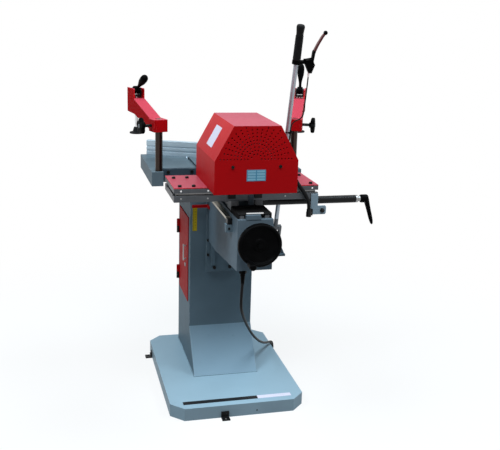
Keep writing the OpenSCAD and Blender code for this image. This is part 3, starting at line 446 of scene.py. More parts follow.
@dataclass(frozen=True)
class Rubber(Finish):
    """Matte rubber or cable jacket with dust in a soft grain."""

    dust: float = 0.25

    def shade(self, tree: Tree) -> None:
        """Makes the rubber's nodes.

        Args:
            tree: The material's empty tree.
        """
        spot = tree.spot()
        fine = tree.noise(spot, 700.0, 3.0)
        dust = tree.noise(spot, 60.0, 5.0, 0.65).band(0.48, 0.75) * self.dust
        self.close(
            tree,
            {
                "Base Color": tree.mix(dust, self.colour, (0.05, 0.049, 0.047)),
                "Roughness": self.rough + dust * 0.2 + (fine - 0.5) * 0.1,
                "Specular IOR Level": 0.1,
                "Normal": tree.bump(fine, 0.25, 0.12),
            },
        )


@dataclass(frozen=True)
class Print(Finish):
    """Plain printed foil or label, slightly uneven and scuffed."""

    def shade(self, tree: Tree) -> None:
        """Makes the foil's nodes.

        Args:
            tree: The material's empty tree.
        """
        spot = tree.spot()
        fibre = tree.noise(spot, 260.0, 4.0)
        scuff = tree.noise(spot, 45.0, 5.0, 0.6).band(0.55, 0.8)
        tone = tree.shades(fibre, self.colour, 0.06, 0.05)
        self.close(
            tree,
            {
                "Base Color": tree.mix(scuff * 0.4, tone, tint(self.colour, -0.25)),
                "Roughness": self.rough + scuff * 0.2,
                "Specular IOR Level": 0.12,
                "Normal": tree.bump(fibre, 0.08, 0.08),
            },
        )


# Darker than the fitting grey as painted shade on the column and its guides; faces that look up, such as the
# column's flare, take a paler grey as painted light.
SHADED_BODY_PAINT = Paint(
    "grey_enamel", "body_paint", (0.14, 0.19, 0.225), 0.45, gloss=0.025, settled=(0.31, 0.43, 0.52)
)
FITTING_PAINT = Paint("fitting_enamel", "body_paint", (0.26, 0.345, 0.405), 0.45, gloss=0.05)
# Faces that look up take a paler grey as painted light from above.
BASE_PAINT = Paint(
    "pale_grey_enamel", "base_paint", (0.27, 0.36, 0.42), 0.45, gloss=0.08, settled=(0.335, 0.465, 0.55)
)
# The same grey, darkened as painted shade on the table.
SHADED_TABLE_PAINT = Paint("table_grey_enamel", "table_paint", (0.112, 0.152, 0.178), 0.45, gloss=0.03)
# Flat tops take a pinker red as a painted sheen, and slopes a brighter red as painted light.
RED_PAINT = Paint(
    "red_enamel", "red_paint", (0.46, 0.005, 0.007), 0.40, gloss=0.03, worn=(0.78, 0.16, 0.17),
    settled=(0.46, 0.07, 0.1), slope=(0.66, 0.02, 0.026),
)
DULL_RED = Paint(
    "matt_red_enamel", "red_paint", (0.41, 0.004, 0.006), 0.45, gloss=0.015, worn=(0.7, 0.12, 0.13)
)
# Faces of the clamp arms that look up take a paler, pinker red as painted light and sheen.
ARM_RED = replace(DULL_RED, name="arm_red_enamel", settled=(0.56, 0.06, 0.088))
RAIL_PAINT = Paint("rail_enamel", "dark_iron", (0.04, 0.06, 0.08), 0.5, gloss=0.015)
# The same grey, darkened as painted shade on the knee under the slides.
SHADED_KNEE_PAINT = Paint("knee_enamel", "body_paint", (0.125, 0.165, 0.20), 0.45, gloss=0.03)
PLATE_METAL = Metal("ground_plate", "base_paint", (0.068, 0.074, 0.082), 0.42, lines=(0.03, 1.0, 1.0))
STEEL = Metal("drawn_steel", "steel", (0.30, 0.30, 0.30), 0.36)
BRIGHT = Metal("bright_steel", "bright_steel", (0.46, 0.455, 0.45), 0.24)
POST_STEEL = Metal("turned_post", "steel", (0.042, 0.031, 0.027), 0.3)
LEVER_STEEL = Metal("lever_steel", "bright_steel", (0.36, 0.40, 0.44), 0.42, bare=0.7)
PULL_STEEL = Metal("pull_steel", "steel", (0.34, 0.34, 0.34), 0.3)
IRON = Metal("dark_iron", "dark_iron", (0.024, 0.026, 0.028), 0.52, bare=0.4)
FENCE_METAL = Metal(
    "fence_aluminium", "fence_metal", (0.44, 0.55, 0.625), 0.42,
    lines=(0.03, 0.03, 1.0), streak=0.08, bare=0.55,
)
STOP_METAL = Metal("stop_rail_aluminium", "stop_metal", (0.42, 0.40, 0.34), 0.38, lines=(1.0, 0.03, 1.0))
BLACK_STEEL = Plastic("blackened_steel", "black_steel", (0.006, 0.006, 0.0065), 0.4, grain=600.0, gloss=0.14)
BLACK_PLASTIC = Plastic("black_moulding", "black_plastic", (0.0014, 0.0014, 0.0016), 0.45, gloss=0.02)
RED_BLADE = Paint("dark_red_lacquer", "red_paint", (0.10, 0.012, 0.014), 0.34, gloss=0.3)
SOFT_BLACK = Rubber("soft_rubber", "soft_black", (0.005, 0.005, 0.0055), 0.62)
JACKET = Rubber("cable_jacket", "cable", (0.005, 0.005, 0.0055), 0.5, dust=0.12)
YELLOW = Print("yellow_scale", "scale_yellow", (0.60, 0.42, 0.012), 0.45)
TICK_BLACK = Print("tick_ink", "black_steel", (0.02, 0.02, 0.02), 0.5)
LABEL_PALE = Print("pale_label", "base_paint", (0.78, 0.72, 0.84), 0.4)
# Dark print on the base strip, also used as painted shade in the earth hole and the lock's key slot.
DARK_PRINT_AND_SHADE = Print("dark_strip", "black_steel", (0.012, 0.012, 0.014), 0.4)
PLATE_BLUE = Print("blank_plate", "body_paint", (0.08, 0.25, 0.38), 0.36)
FIELD_BLUE = Print("blank_field", "body_paint", (0.24, 0.46, 0.58), 0.4)


class Solid:
    """Closed shapes gathered in millimetres and turned into one mesh in metres."""

    def __init__(self) -> None:
        """Starts with nothing."""
        self.bm = bmesh.new()
        self.edge = self.bm.faces.layers.float.new("edge")

    @classmethod
    def of(cls, node: str) -> Solid:
        """A clean copy of a CAD node, with its loose triangles joined to faces.

        Args:
            node: Name of the node.

        Returns:
            The copy.
        """
        made = cls()
        made.bm.from_mesh(bpy.data.objects[node].data)
        made.edge = made.bm.faces.layers.float.get("edge") or made.bm.faces.layers.float.new("edge")
        made.bm.transform(Matrix.Scale(1 / MM, 4))
        bmesh.ops.remove_doubles(made.bm, verts=made.bm.verts, dist=0.004)
        bmesh.ops.dissolve_limit(
            made.bm,
            angle_limit=math.radians(0.8),
            verts=made.bm.verts,
            edges=made.bm.edges,
            use_dissolve_boundaries=False,
        )
        return made

    def take(self, mesh: bpy.types.Mesh) -> Solid:
        """Adds a mesh that is in metres.

        Args:
            mesh: The mesh, which is left in millimetres.

        Returns:
            This solid.
        """
        mesh.transform(Matrix.Scale(1 / MM, 4))
        self.bm.from_mesh(mesh)
        return self

    def prism(
        self, outline: Sequence[Pair], low: float, high: float, place: Matrix = Matrix(), soft: float = 0.0
    ) -> Solid:
        """Adds an outline drawn from one height to another.

        Args:
            outline: Corners of the closed outline.
            low: Where it starts on its own Z.
            high: Where it ends.
            place: Turn and place.
            soft: How far its corners are rounded.

        Returns:
            This solid.
        """
        if soft:
            outline = rounded(outline, soft, closed=True)
        rings = [[self.bm.verts.new(place @ Vector((p[0], p[1], z))) for p in outline] for z in (low, high)]
        for ring in rings:
            self.bm.faces.new(ring)
        for k in range(len(outline)):
            j = (k + 1) % len(outline)
            self.bm.faces.new((rings[0][k], rings[0][j], rings[1][j], rings[1][k]))
        return self

    def box(self, a: Pair, b: Pair, place: Matrix = Matrix()) -> Solid:
        """Adds a box between two corners."""
        outline = [(a[0], a[1]), (b[0], a[1]), (b[0], b[1]), (a[0], b[1])]
        return self.prism(outline, a[2], b[2], place)

    def loft(self, rings: list[list[Vector]], ring: bool = False) -> Solid:
        """Adds the skin over rings of points, with a single point as a closed end.

        Args:
            rings: Points of each ring in space, or one point.
            ring: Whether the last ring joins the first.

        Returns:
            This solid.
        """
        made = [[self.bm.verts.new(p) for p in row] for row in rings]
        pairs = list(zip(made, made[1:])) + ([(made[-1], made[0])] if ring else [])
        sides = max(len(row) for row in made)
        for a, b in pairs:
            for k in range(sides):
                j = (k + 1) % sides
                corners = [a[k % len(a)], a[j % len(a)], b[j % len(b)], b[k % len(b)]]
                self.bm.faces.new(list(dict.fromkeys(corners)))
        return self

    def lathe(
        self,
        profile: Sequence[Pair],
        place: Matrix,
        steps: int = 40,
        soft: float = 0.0,
        lobes: int = 0,
        dip: float = 0.0,
    ) -> Solid:
        """Adds a turned shape.

        Args:
            profile: Pairs of radius and height, from end to end.
            place: Where its axis stands.
            steps: Corners round the axis.
            soft: How far the profile's corners are rounded.
            lobes: Waves round the axis, as on a star knob.
            dip: Depth of the waves as a share of the radius.

        Returns:
            This solid.
        """
        rings = []
        for radius, z in rounded(profile, soft) if soft else profile:
            if radius < 1e-6:
                rings.append([place @ Vector((0, 0, z))])
                continue
            row = []
            for a in around(steps):
                r = radius * (1 - dip * (0.5 - 0.5 * math.cos(lobes * a)) ** 1.6)
                row.append(place @ Vector((r * math.cos(a), r * math.sin(a), z)))
            rings.append(row)
        whole = len(rings[0]) > 1 and len(rings[-1]) > 1
        return self.loft(rings, ring=whole)

    def rod(self, radius: float, low: float, high: float, place: Matrix, steps: int) -> Solid:
        """Adds a cylinder on a place's own Z."""
        return self.lathe([(0, low), (radius, low), (radius, high), (0, high)], place, steps)

    def ball(self, radius: float, place: Matrix, rings: int, steps: int) -> Solid:
        """Adds a ball on a place, with its poles on the place's own Z."""
        arc = [math.pi * k / rings for k in range(rings + 1)]
        return self.lathe([(radius * math.sin(a), -radius * math.cos(a)) for a in arc], place, steps)

    def tube(self, path: Sequence[Vector], radius: float, sides: int = 14, loop: bool = False) -> Solid:
        """Adds a round tube along a path.

        Args:
            path: Points of its middle line.
            radius: Its radius.
            sides: Corners round it.
            loop: Whether its end joins its start.

        Returns:
            This solid.
        """
        count = len(path)
        rings: list[list[Vector]] = []
        across = Vector((0.31, 0.95, 0.12))
        for i, point in enumerate(path):
            if loop:
                way = (path[(i + 1) % count] - path[i - 1]).normalized()
            else:
                way = (path[min(i + 1, count - 1)] - path[max(i - 1, 0)]).normalized()
            across = (across - way * across.dot(way)).normalized()
            other = way.cross(across)
            rays = [math.cos(a) * across + math.sin(a) * other for a in around(sides)]
            rings.append([point + radius * ray for ray in rays])
        if not loop:
            rings = [[path[0]], *rings, [path[-1]]]
        return self.loft(rings, ring=loop)

    def bevel(
        self,
        width: float,
        segments: int = 2,
        angle: float = 30.0,
        where: Test | None = None,
    ) -> Solid:
        """Rounds the edges that turn by more than an angle and marks the new faces.

        Args:
            width: Distance of the rounding from the edge.
            segments: Faces across it.
            angle: Smallest turn that is rounded, in degrees.
            where: Test of an edge by its middle and its direction.

        Returns:
            This solid.
        """
        picked = []
        for e in self.bm.edges:
            if len(e.link_faces) != 2 or e.calc_face_angle(0.0) < math.radians(angle):
                continue
            a, b = e.verts[0].co, e.verts[1].co
            if where is None or where((a + b) / 2, b - a):
                picked.append(e)
        if not picked:
            return self
        made = bmesh.ops.bevel(
            self.bm, geom=picked, offset=width, offset_type="OFFSET", segments=segments,
            profile=0.5, affect="EDGES", clamp_overlap=True,
        )
        for f in made["faces"]:
            f[self.edge] = 1.0
        return self

    def mesh(self, name: str) -> bpy.types.Mesh:
        """The gathered shapes as one mesh in metres, with faces outwards.

        Args:
            name: Name of the mesh.

        Returns:
            The mesh. The solid can't be used after this.
        """
        bmesh.ops.recalc_face_normals(self.bm, faces=self.bm.faces)
        self.bm.transform(Matrix.Scale(MM, 4))
        made = bpy.data.meshes.new(name)
        self.bm.to_mesh(made)
        self.bm.free()
        return made


def settle(obj: bpy.types.Object) -> bpy.types.Object:
    """Turns an object's modifiers into plain mesh.

    Args:
        obj: The object.

    Returns:
        The same object.
    """
    graph = bpy.context.evaluated_depsgraph_get()
    graph.update()
    final = obj.evaluated_get(graph)
    made = bpy.data.meshes.new_from_object(final, preserve_all_data_layers=True, depsgraph=graph)
    obj.modifiers.clear()
    obj.data = made
    return obj


def shown(name: str, mesh: bpy.types.Mesh) -> bpy.types.Object:
    """A linked object at the origin.

    Args:
        name: Name of the object.
        mesh: Its mesh.

    Returns:
        The object.
    """
    obj = bpy.data.objects.new(name, mesh)
    bpy.context.scene.collection.objects.link(obj)
    return obj


class Recipe(Graph):
    """A Geometry Nodes tree with named sizes that ends as a plain mesh."""

    def __init__(self, name: str, sizes: dict[str, float]) -> None:
        """Makes the tree's own inputs.

        Args:
            name: Name of the tree.
            sizes: Named inputs with their first values.
        """
        self.group = bpy.data.node_groups.new(name, "GeometryNodeTree")
        super().__init__(self.group)
        face = self.group.interface
        face.new_socket("Geometry", in_out="INPUT", socket_type="NodeSocketGeometry")
        face.new_socket("Geometry", in_out="OUTPUT", socket_type="NodeSocketGeometry")
        self.keys: dict[str, str] = {}
        for key, value in sizes.items():
            kind = "NodeSocketInt" if isinstance(value, int) else "NodeSocketFloat"
            made = face.new_socket(key, in_out="INPUT", socket_type=kind)
            made.default_value = value
            self.keys[key] = made.identifier
        self.values = dict(sizes)
        self.start = self.nodes.new("NodeGroupInput")

    def size(self, name: str) -> Value:
        """A named input."""
        return Value(self, self.start.outputs[name])

    def xyz(self, **parts: object) -> Value:
        """One vector from its parts."""
        return self.node("ShaderNodeCombineXYZ", {}, parts)

    def kept(self, name: str) -> Value:
        """The direction that each point of the base keeps under a name."""
        return self.node("GeometryNodeInputNamedAttribute", {"data_type": "FLOAT_VECTOR"}, {"Name": name})

    def row(self, count: str, step: str) -> Value:
        """A row of points up Z, from two named sizes."""
        sockets = {"Count": self.size(count), "Offset": self.xyz(Z=self.size(step))}
        return self.node("GeometryNodeMeshLine", {"mode": "OFFSET"}, sockets)

    def copies(self, points: Value, shape: Value, **more: Value) -> Value:
        """A shape set on every point."""
        return self.node("GeometryNodeInstanceOnPoints", {}, {"Points": points, "Instance": shape, **more})

    def run(self, shape: Value, finish: Finish, base: bpy.types.Mesh | None = None) -> bpy.types.Mesh:
        """Closes the tree and turns its result into a plain mesh.

        Args:
            shape: The geometry that the tree ends with.
            finish: Finish of the result.
            base: Mesh that the tree starts from.

        Returns:
            The mesh.
        """
        real = self.node("GeometryNodeRealizeInstances", {}, {"Geometry": shape})
        dressed = self.node("GeometryNodeSetMaterial", {}, {"Geometry": real, "Material": finish.material()})
        self.node("NodeGroupOutput", {}, {"Geometry": dressed})
        obj = shown(self.group.name + "_maker", base or bpy.data.meshes.new(self.group.name))
        modifier = obj.modifiers.new("recipe", "NODES")
        modifier.node_group = self.group
        for key, value in self.values.items():
            modifier[self.keys[key]] = value
        made = settle(obj).data
        bpy.data.objects.remove(obj)
        return made


def keep_ways(mesh: bpy.types.Mesh, name: str, ways: Sequence[Vector]) -> None:
    """Keeps a direction for each point of a mesh.

    Args:
        mesh: The mesh.
        name: Name to keep them under.
        ways: The directions.
    """
    store = mesh.attributes.new(name, "FLOAT_VECTOR", "POINT")
    for row, way in zip(store.data, ways):
        row.vector = way


def scattered(name: str, unit: bpy.types.Mesh, spots: Sequence[Spot], finish: Finish) -> bpy.types.Mesh:
    """One small shape set on many spots by Geometry Nodes.

    Args:
        name: Name of the tree.
        unit: The shape, standing on its own Z.
        spots: Pairs of a place in millimetres and the direction it faces.
        finish: Finish of the result.

    Returns:
        The mesh of all of them.
    """
    base = bpy.data.meshes.new(name)
    base.from_pydata([Vector(p) * MM for p, _ in spots], [], [])
    keep_ways(base, "facing", [way for _, way in spots])
    maker = shown(name + "_unit", unit)
    recipe = Recipe(name, {"Scale": 1.0})
    turn = recipe.node("FunctionNodeAlignRotationToVector", {"axis": "Z"}, {"Vector": recipe.kept("facing")})
    part = recipe.node("GeometryNodeObjectInfo", {}, {"Object": maker}, out="Geometry")
    placed = recipe.copies(recipe.size("Geometry"), part, Rotation=turn, Scale=recipe.size("Scale"))
    made = recipe.run(placed, finish, base)
    bpy.data.objects.remove(maker)
    return made


def cap_screw(radius: float, height: float) -> bpy.types.Mesh:
    """A cap screw with a domed rim and a hexagon socket, standing on Z.

    Args:
        radius: Radius of the head.
        height: Height of the head.

    Returns:
        Its mesh.
    """
    hole, sunk, bottom, steps = radius * 0.5, -0.4, height * 0.35, 24
    outer = rounded([(radius, 0), (radius, height), (hole, height)], radius * 0.3)
    rings = [[Vector((0, 0, sunk))]]
    for r, z in [(radius, sunk), *outer]:
        six = r <= hole * 1.01
        row = []
        for a in around(steps):
            flat = math.cos(math.pi / 6) / math.cos((a % (math.pi / 3)) - math.pi / 6) if six else 1.0
            row.append(Vector((r * flat * math.cos(a), r * flat * math.sin(a), z)))
        rings.append(row)
    rings.append([Vector((v.x, v.y, bottom)) for v in rings[-1]])
    rings.append([Vector((0, 0, bottom))])
    return Solid().loft(rings).mesh("cap_screw")


def hex_bolt(radius: float, height: float) -> bpy.types.Mesh:
    """A hexagon head on a round washer, standing on Z.

    Args:
        radius: Radius of the hexagon's corners.
        height: Height of the head.

    Returns:
        Its mesh.
    """
    made = Solid()
    six = [(radius * math.cos(a), radius * math.sin(a)) for a in around(6)]
    made.prism(six, 1.0, height).bevel(radius * 0.1, 2)
    made.rod(radius * 1.25, 0, 1.1, Matrix(), 24)
    return made.mesh("hex_bolt")


class Shop:
    """Turns meshes into pieces that ride on the frame's bodies."""

    def __init__(self, frame: dict) -> None:
        """Keeps the frame's nodes and the body of each.
        """
        self.nodes = frame["nodes"]
        groups = frame["record"]["behaviour"]["bodies"]
        self.body = {node: body for body, members in groups.items() for node in members}

    def add(
        self,
        name: str,
        mesh: bpy.types.Mesh | Solid,
        finish: Finish,
        body: str,
        stands_for: Sequence[str] = (),
        crisp: float = 38.0,
        blend: tuple | None = None,
    ) -> bpy.types.Object:
        """Makes a piece of a mesh.

        Args:
            name: The piece's name.
            mesh: Its mesh in metres, or a solid, in the frame.
            finish: Its finish.
            body: The body that it rides on.
            stands_for: CAD nodes that it replaces.
            crisp: Angle past which an edge stays sharp, in degrees.
            blend: A second body with two points. When it is given, the piece is left unparented with its
                place baked in; the body and points in it are not used.

        Returns:
            The piece.
        """
        if isinstance(mesh, Solid):
            mesh = mesh.mesh(name)
        mesh.materials.clear()
        mesh.materials.append(finish.material())
        mesh.shade_smooth()
        mesh.set_sharp_from_angle(angle=math.radians(crisp))
        obj = shown(name, mesh)
        weigh = obj.modifiers.new("flat_faces", "WEIGHTED_NORMAL")
        weigh.keep_sharp = True
        weigh.weight = 80
        settle(obj)
        obj.data.name = name
        if blend:
            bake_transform(obj)
        else:
            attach(obj, body)
        if stands_for:
            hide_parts(*stands_for)
        LOG.info("%s on %s, %d faces", name, body, len(obj.data.polygons))
        return obj

    def scatter(
        self,
        name: str,
        unit: bpy.types.Mesh,
        spots: Sequence[Spot],
        finish: Finish,
        body: str,
        stands_for: Sequence[str] = (),
    ) -> bpy.types.Object:
        """Makes one piece of a small shape set on many spots."""
        return self.add(name, scattered(name, unit, spots, finish), finish, body, stands_for)

    def soften(
        self,
        node: str,
        finish: Finish,
        width: float = 0.8,
        segments: int = 2,
        over: float = 0.0,
    ) -> bpy.types.Object:
        """Replaces a CAD node by its copy with rounded edges.

        Args:
            node: The node.
            finish: Finish of the copy.
            width: How far each edge is rounded.
            segments: Pieces in each curve.
            over: Length past which an edge is rounded, or 0 for every edge.

        Returns:
            The piece.
        """
        where = (lambda m, d: d.length > over) if over else None
        made = Solid.of(node).bevel(width, segments, where=where)
        return self.add(node + "_dressed", made, finish, self.body[node], [node])

    def dress(self, finish: Finish, *nodes: str) -> None:
        """Gives CAD nodes that keep their shape a finish.

        Args:
            finish: The finish.
            nodes: Names of the nodes.
        """
        for node in nodes:
            data = self.nodes[node].data
            data.materials.clear()
            data.materials.append(finish.material())
            LOG.info("%s dressed", node)


@dataclass
class Studio:
    """Camera, floor and soft light."""

    eye: Pair = (-604.0, -2696.196, 1362.733)
    yaw: float = 0.254
    pitch: float = 0.27
    roll: float = 0.031
    lens: float = 57.119
    floor_r: float = 9000.0

    def camera(self) -> None:
        """Stands the camera where the photograph was taken from."""
        ahead = math.cos(self.pitch)
        way = Vector((math.sin(self.yaw) * ahead, math.cos(self.yaw) * ahead, -math.sin(self.pitch)))
        level = Vector((math.cos(self.yaw), -math.sin(self.yaw), 0))
        up = level.cross(way)
        right = math.cos(self.roll) * level + math.sin(self.roll) * up
        top = -math.sin(self.roll) * level + math.cos(self.roll) * up
        data = bpy.data.cameras.new("photo_camera")
        data.sensor_width = 36.0
        data.lens = self.lens
        data.clip_start, data.clip_end = 0.05, 60.0
        obj = bpy.data.objects.new("photo_camera", data)
        turn = Matrix((right, top, -way)).transposed().to_4x4()
        obj.matrix_world = Matrix.Translation(Vector(self.eye) * MM) @ turn
        bpy.context.scene.collection.objects.link(obj)
        bpy.context.scene.camera = obj

    @staticmethod
    def seen(tree: Tree) -> Value:
        """1 for rays from the camera, or that reached the surface by a mirror or through glass.

        Args:
            tree: The tree that asks.

        Returns:
            The share.
        """
        kinds = ("Camera", "Glossy", "Transmission")
        eye, mirror, glass = (tree.node("ShaderNodeLightPath", out=f"Is {kind} Ray") for kind in kinds)
        return (eye + mirror + glass).band(0.0, 1.0)

    def floor(self) -> None:
        """Lays a pale round floor that keeps a soft shadow."""
        made = Solid().rod(self.floor_r, -20, 0, Matrix(), 96)
        obj = shown("floor", made.mesh("floor"))
        paper = bpy.data.materials.new("floor_paper")
        tree = Tree(paper)
        spot = tree.spot()
        fibre = tree.noise(spot, 90.0, 4.0)
        away = tree.node("ShaderNodeVectorMath", {"operation": "LENGTH"}, {0: spot}, out="Value")
        grey = tree.mix(fibre, (0.30, 0.30, 0.305), (0.34, 0.34, 0.345))
        pale = tree.mix(fibre, (0.90, 0.90, 0.90), (0.96, 0.96, 0.96))
        dull = tree.node("ShaderNodeBsdfDiffuse", {}, {"Color": grey})
        bright = tree.node("ShaderNodeBsdfDiffuse", {}, {"Color": pale})
        white = tree.node("ShaderNodeEmission", {}, {"Color": (1, 1, 1, 1), "Strength": 1.0})
        share = 0.78 + 0.22 * away.band(0.45, 1.9)
        near = tree.node("ShaderNodeMixShader", {}, {0: share, 1: bright, 2: white})
        both = tree.node("ShaderNodeMixShader", {}, {0: self.seen(tree), 1: dull, 2: near})
        tree.end("ShaderNodeOutputMaterial", both)
        obj.data.materials.append(paper)

    def light(self) -> None:
        """Hangs soft boxes over and beside the object in a pale room."""
        cool, blue, warm = (0.9, 0.96, 1.0), (0.72, 0.9, 1.0), (1.0, 0.97, 0.94)
        boxes = (
            ("key_box", (-300, -2900, 5000), (0, -100, 500), 3.0, 175.0, cool),
            ("left_box", (-2600, -600, 4300), (0, -100, 200), 2.2, 125.0, blue),
            ("right_box", (2600, -600, 4300), (0, -100, 200), 2.2, 125.0, blue),
            ("rear_box", (-1800, 2900, 2600), (0, 100, 600), 1.6, 8.0, warm),
        )
        for name, place, aim, size, power, colour in boxes:
            data = bpy.data.lights.new(name, "AREA")
            data.shape, data.size, data.energy, data.color = "DISK", size, power, colour
            obj = bpy.data.objects.new(name, data)
            way = (Vector(aim) - Vector(place)).to_track_quat("-Z", "Y")
            obj.matrix_world = Matrix.Translation(Vector(place) * MM) @ way.to_matrix().to_4x4()
            bpy.context.scene.collection.objects.link(obj)
        world = bpy.data.worlds.new("pale_room")
        bpy.context.scene.world = world
        tree = Tree(world)
        dim = tree.node("ShaderNodeBackground", {}, {"Color": (0.92, 0.96, 1.0, 1), "Strength": 0.07})
        white = tree.node("ShaderNodeBackground", {}, {"Color": (1, 1, 1, 1), "Strength": 1.0})
        both = tree.node("ShaderNodeMixShader", {}, {0: self.seen(tree), 1: dim, 2: white})
        tree.end("ShaderNodeOutputWorld", both)
        bpy.context.scene.view_settings.view_transform = "Standard"

    def build(self) -> None:
        """Sets up the whole studio."""
        self.camera()
        self.floor()
        self.light()


@dataclass
class Cables:
    """Mains lead with coil and plug, motor cable and brake cable."""

    shop: Shop
    lever: Matrix
    mains_d: float = 9.0
    motor_d: float = 12.0
    brake_d: float = 4.4
    coil_x: float = 15.0
    coil_y: float = 412.0
    coil_r: float = 60.0
    coil_pitch: float = 10.0
    coil_layer: float = 9.8
    coil_turns: float = 4.5
    coil_steps: int = 48
    lay_z: float = 5.0
    gland: Pair = (-27.0, -402.0, 572.0)
    plug_x: float = 75.0
    plug_z: float = 19.0
    pin_gap: float = 19.0
    strap_turn: float = 150.0
    sleeve_x: float = 10.3
    sleeve_z: float = 345.0
    tie_zs: Pair = (370.0, 412.0)

    def mains_route(self) -> list[Vector]:
        """Route of the mains lead from the knee's gland to the coil.

        Returns:
            The points of the route.
        """
        return smooth_path(
            [
                (-27, -402, 539.7), (-27.5, -403, 518), (-30.5, -409.5, 494), (-33, -415, 468),
                (-32, -413, 443), (-25.6, -399, 418), (-11.5, -368.5, 385), (8, -326.6, 347),
                (30.9, -277, 306), (56, -222.8, 264), (86.7, -156.8, 217.5), (122.4, -79.7, 169),
                (160, 2, 123.5), (184.5, 53, 98), (204, 93, 80), (217, 118.5, 69.5), (225.4, 131.5, 64.3),
                (232.4, 140.5, 60.5), (239.2, 150.1, 55.1), (244.5, 159, 47.2), (248.3, 166.4, 37.3),
                (251.3, 173.4, 26.4), (254.4, 182.3, 17.5), (257.3, 193, 10.8), (259.8, 205.1, 6.7),
                (261.5, 218.1, 5), (261.9, 232, 5), (260.3, 249, 5), (254.5, 270, 5), (243, 292, 5),
                (224, 315, 5), (196, 335, 5), (162, 347, 5), (126, 352, 5), (95, 352, 5), (55, 352, 5),
            ],
            8,
        )

    def coil_route(self) -> list[Vector]:
        """Route of the lead through the coil's two layers and up to the plug.

        Returns:
            The points of the route.
        """
        start = self.coil_y - self.coil_r
        line = [Vector((self.coil_x + x, start, self.lay_z)) for x in (46 - self.mains_d, 22, 14)]
        half = self.coil_turns / 2
        for i in range(int(self.coil_turns * self.coil_steps) + 1):
            a = i / self.coil_steps
            r = self.coil_r - self.coil_pitch * (a if a < half else self.coil_turns - a)
            z = self.lay_z + self.coil_layer * min(max((a - half + 0.25) / 0.5, 0), 1)
            turn = math.radians(-90 - 360 * a)
            line.append(Vector((self.coil_x + r * math.cos(turn), self.coil_y + r * math.sin(turn), z)))
        x, y, z = line[-1]
        line += [Vector((x + 16, y, z + 0.6)), Vector((x + 32, y, z + 2.4))]
        return line + [Vector((self.plug_x - back, y, self.plug_z)) for back in (self.mains_d, 0)]

    def mains(self) -> None:
        """Makes the mains lead, its gland, tie and plug."""
        path = self.mains_route() + self.coil_route()
        lead = self.shop.add(
            "mains_lead", Solid().tube(path, self.mains_d / 2, 14), JACKET, "stand",
            ["mains_cord", "cord_coil"], crisp=60, blend=("knee", (0, 0, 70), (0, 0, 525)),
        )
        low = Along.NEG_Z.at(*self.gland)
        gland = Solid().rod(8, 0, 14, low, 36)
        gland.lathe([(0, 14), (12, 14), (12, 21), (10.5, 22.5), (0, 22.5)], low, 6)
        sleeve = [(0, 21), (8, 21), (8, 31), (6.8, 34), (5.4, 58), (4.6, 59), (0, 59)]
        gland.lathe(sleeve, low, 30, soft=1.2)
        self.shop.add("cord_gland_relief", gland.bevel(0.5, 1, 40), BLACK_PLASTIC, "knee", ["cord_gland"])
        pieces = [self.plug(), self.plug_pins(), self.tie()]
        self.declare(lead, path, self.mains_d, "plug", "coiled", pieces)

    @staticmethod
    def declare(
        piece: bpy.types.Object, path: Sequence[Vector], width: float, end: str, lay: str, others: list
    ) -> None:
        """Takes a cable's details and does nothing with them but work out its width in metres.

        Args:
            piece: The cable; not used.
            path: Its route; not used.
            width: Its diameter.
            end: What its far end is on; not used.
            lay: How it lies; not used.
            others: Pieces that go with it; not used.
        """
        width * MM

    def plug(self) -> bpy.types.Object:
        """Makes the plug's moulded body with grip ribs and a tapered sleeve.

        Returns:
            The piece.
        """
        y, rib_r, steps = self.coil_y + self.coil_r, 18.2, 40
        place = Along.X.at(self.plug_x, y, self.plug_z)
        line = [
            (0, -1), (5.4, -1), (6.4, 2), (8.6, 14), (12, 17), (17, 20), (18.4, 24), (18.4, 49),
            (16.5, 52), (0, 52),
        ]
        made = Solid().lathe(line, place, 44, soft=1.4)
        ring = [Vector((rib_r * math.cos(a), rib_r * math.sin(a), 0)) for a in around(steps)]
        unit = Solid().tube(ring, 0.7, 6, True).mesh("plug_rib")
        spots = Along.X.spots(*[(self.plug_x + 27 + 4 * k, y, self.plug_z) for k in range(5)])
        made.take(scattered("plug_ribs", unit, spots, JACKET))
        return self.shop.add("plug_body", made, JACKET, "stand", ["mains_plug"])

    def plug_pins(self) -> bpy.types.Object:
        """Makes the plug's two round pins.

        Returns:
            The piece.
        """
        made = Solid()
        for s in (-0.5, 0.5):
            place = Along.X.at(self.plug_x + 51, self.coil_y + self.coil_r + s * self.pin_gap, self.plug_z)
            made.lathe([(0, 0), (2.4, 0), (2.4, 18), (1.8, 19.6), (0, 20)], place, 20)
        return self.shop.add("plug_pins", made, BRIGHT, "stand")

    def tie(self) -> bpy.types.Object:
        """Makes the strap that holds the coil together.

        Returns:
            The piece.
        """
        inner, outer = self.coil_r - 30, self.coil_r + 6
        turn = math.radians(self.strap_turn)
        line = rounded([(inner, 0.35), (outer, 0.35), (outer, 20.6), (inner, 20.6)], 6, closed=True, steps=4)
        ring = []
        away = Vector((math.cos(turn), math.sin(turn), 0))
        side = Vector((-away.y, away.x, 0))
        middle = Vector((self.coil_x, self.coil_y, 0))
        centre = Vector(((inner + outer) / 2, 10.5))
        for p in line:
            q = centre + (p - centre) * 0.97
            corners = ((p, -4), (p, 4), (q, 4), (q, -4))
            ring.append([middle + away * r + side * w + Vector((0, 0, max(z, 0.1))) for (r, z), w in corners])
        made = Solid().loft(ring, ring=True)
        lock = Matrix.Translation(middle) @ turned(self.strap_turn, "Z")
        made.box((outer - 3, -5, 8), (outer + 4, 5, 15), lock)
        return self.shop.add("coil_tie", made, BLACK_PLASTIC, "stand")

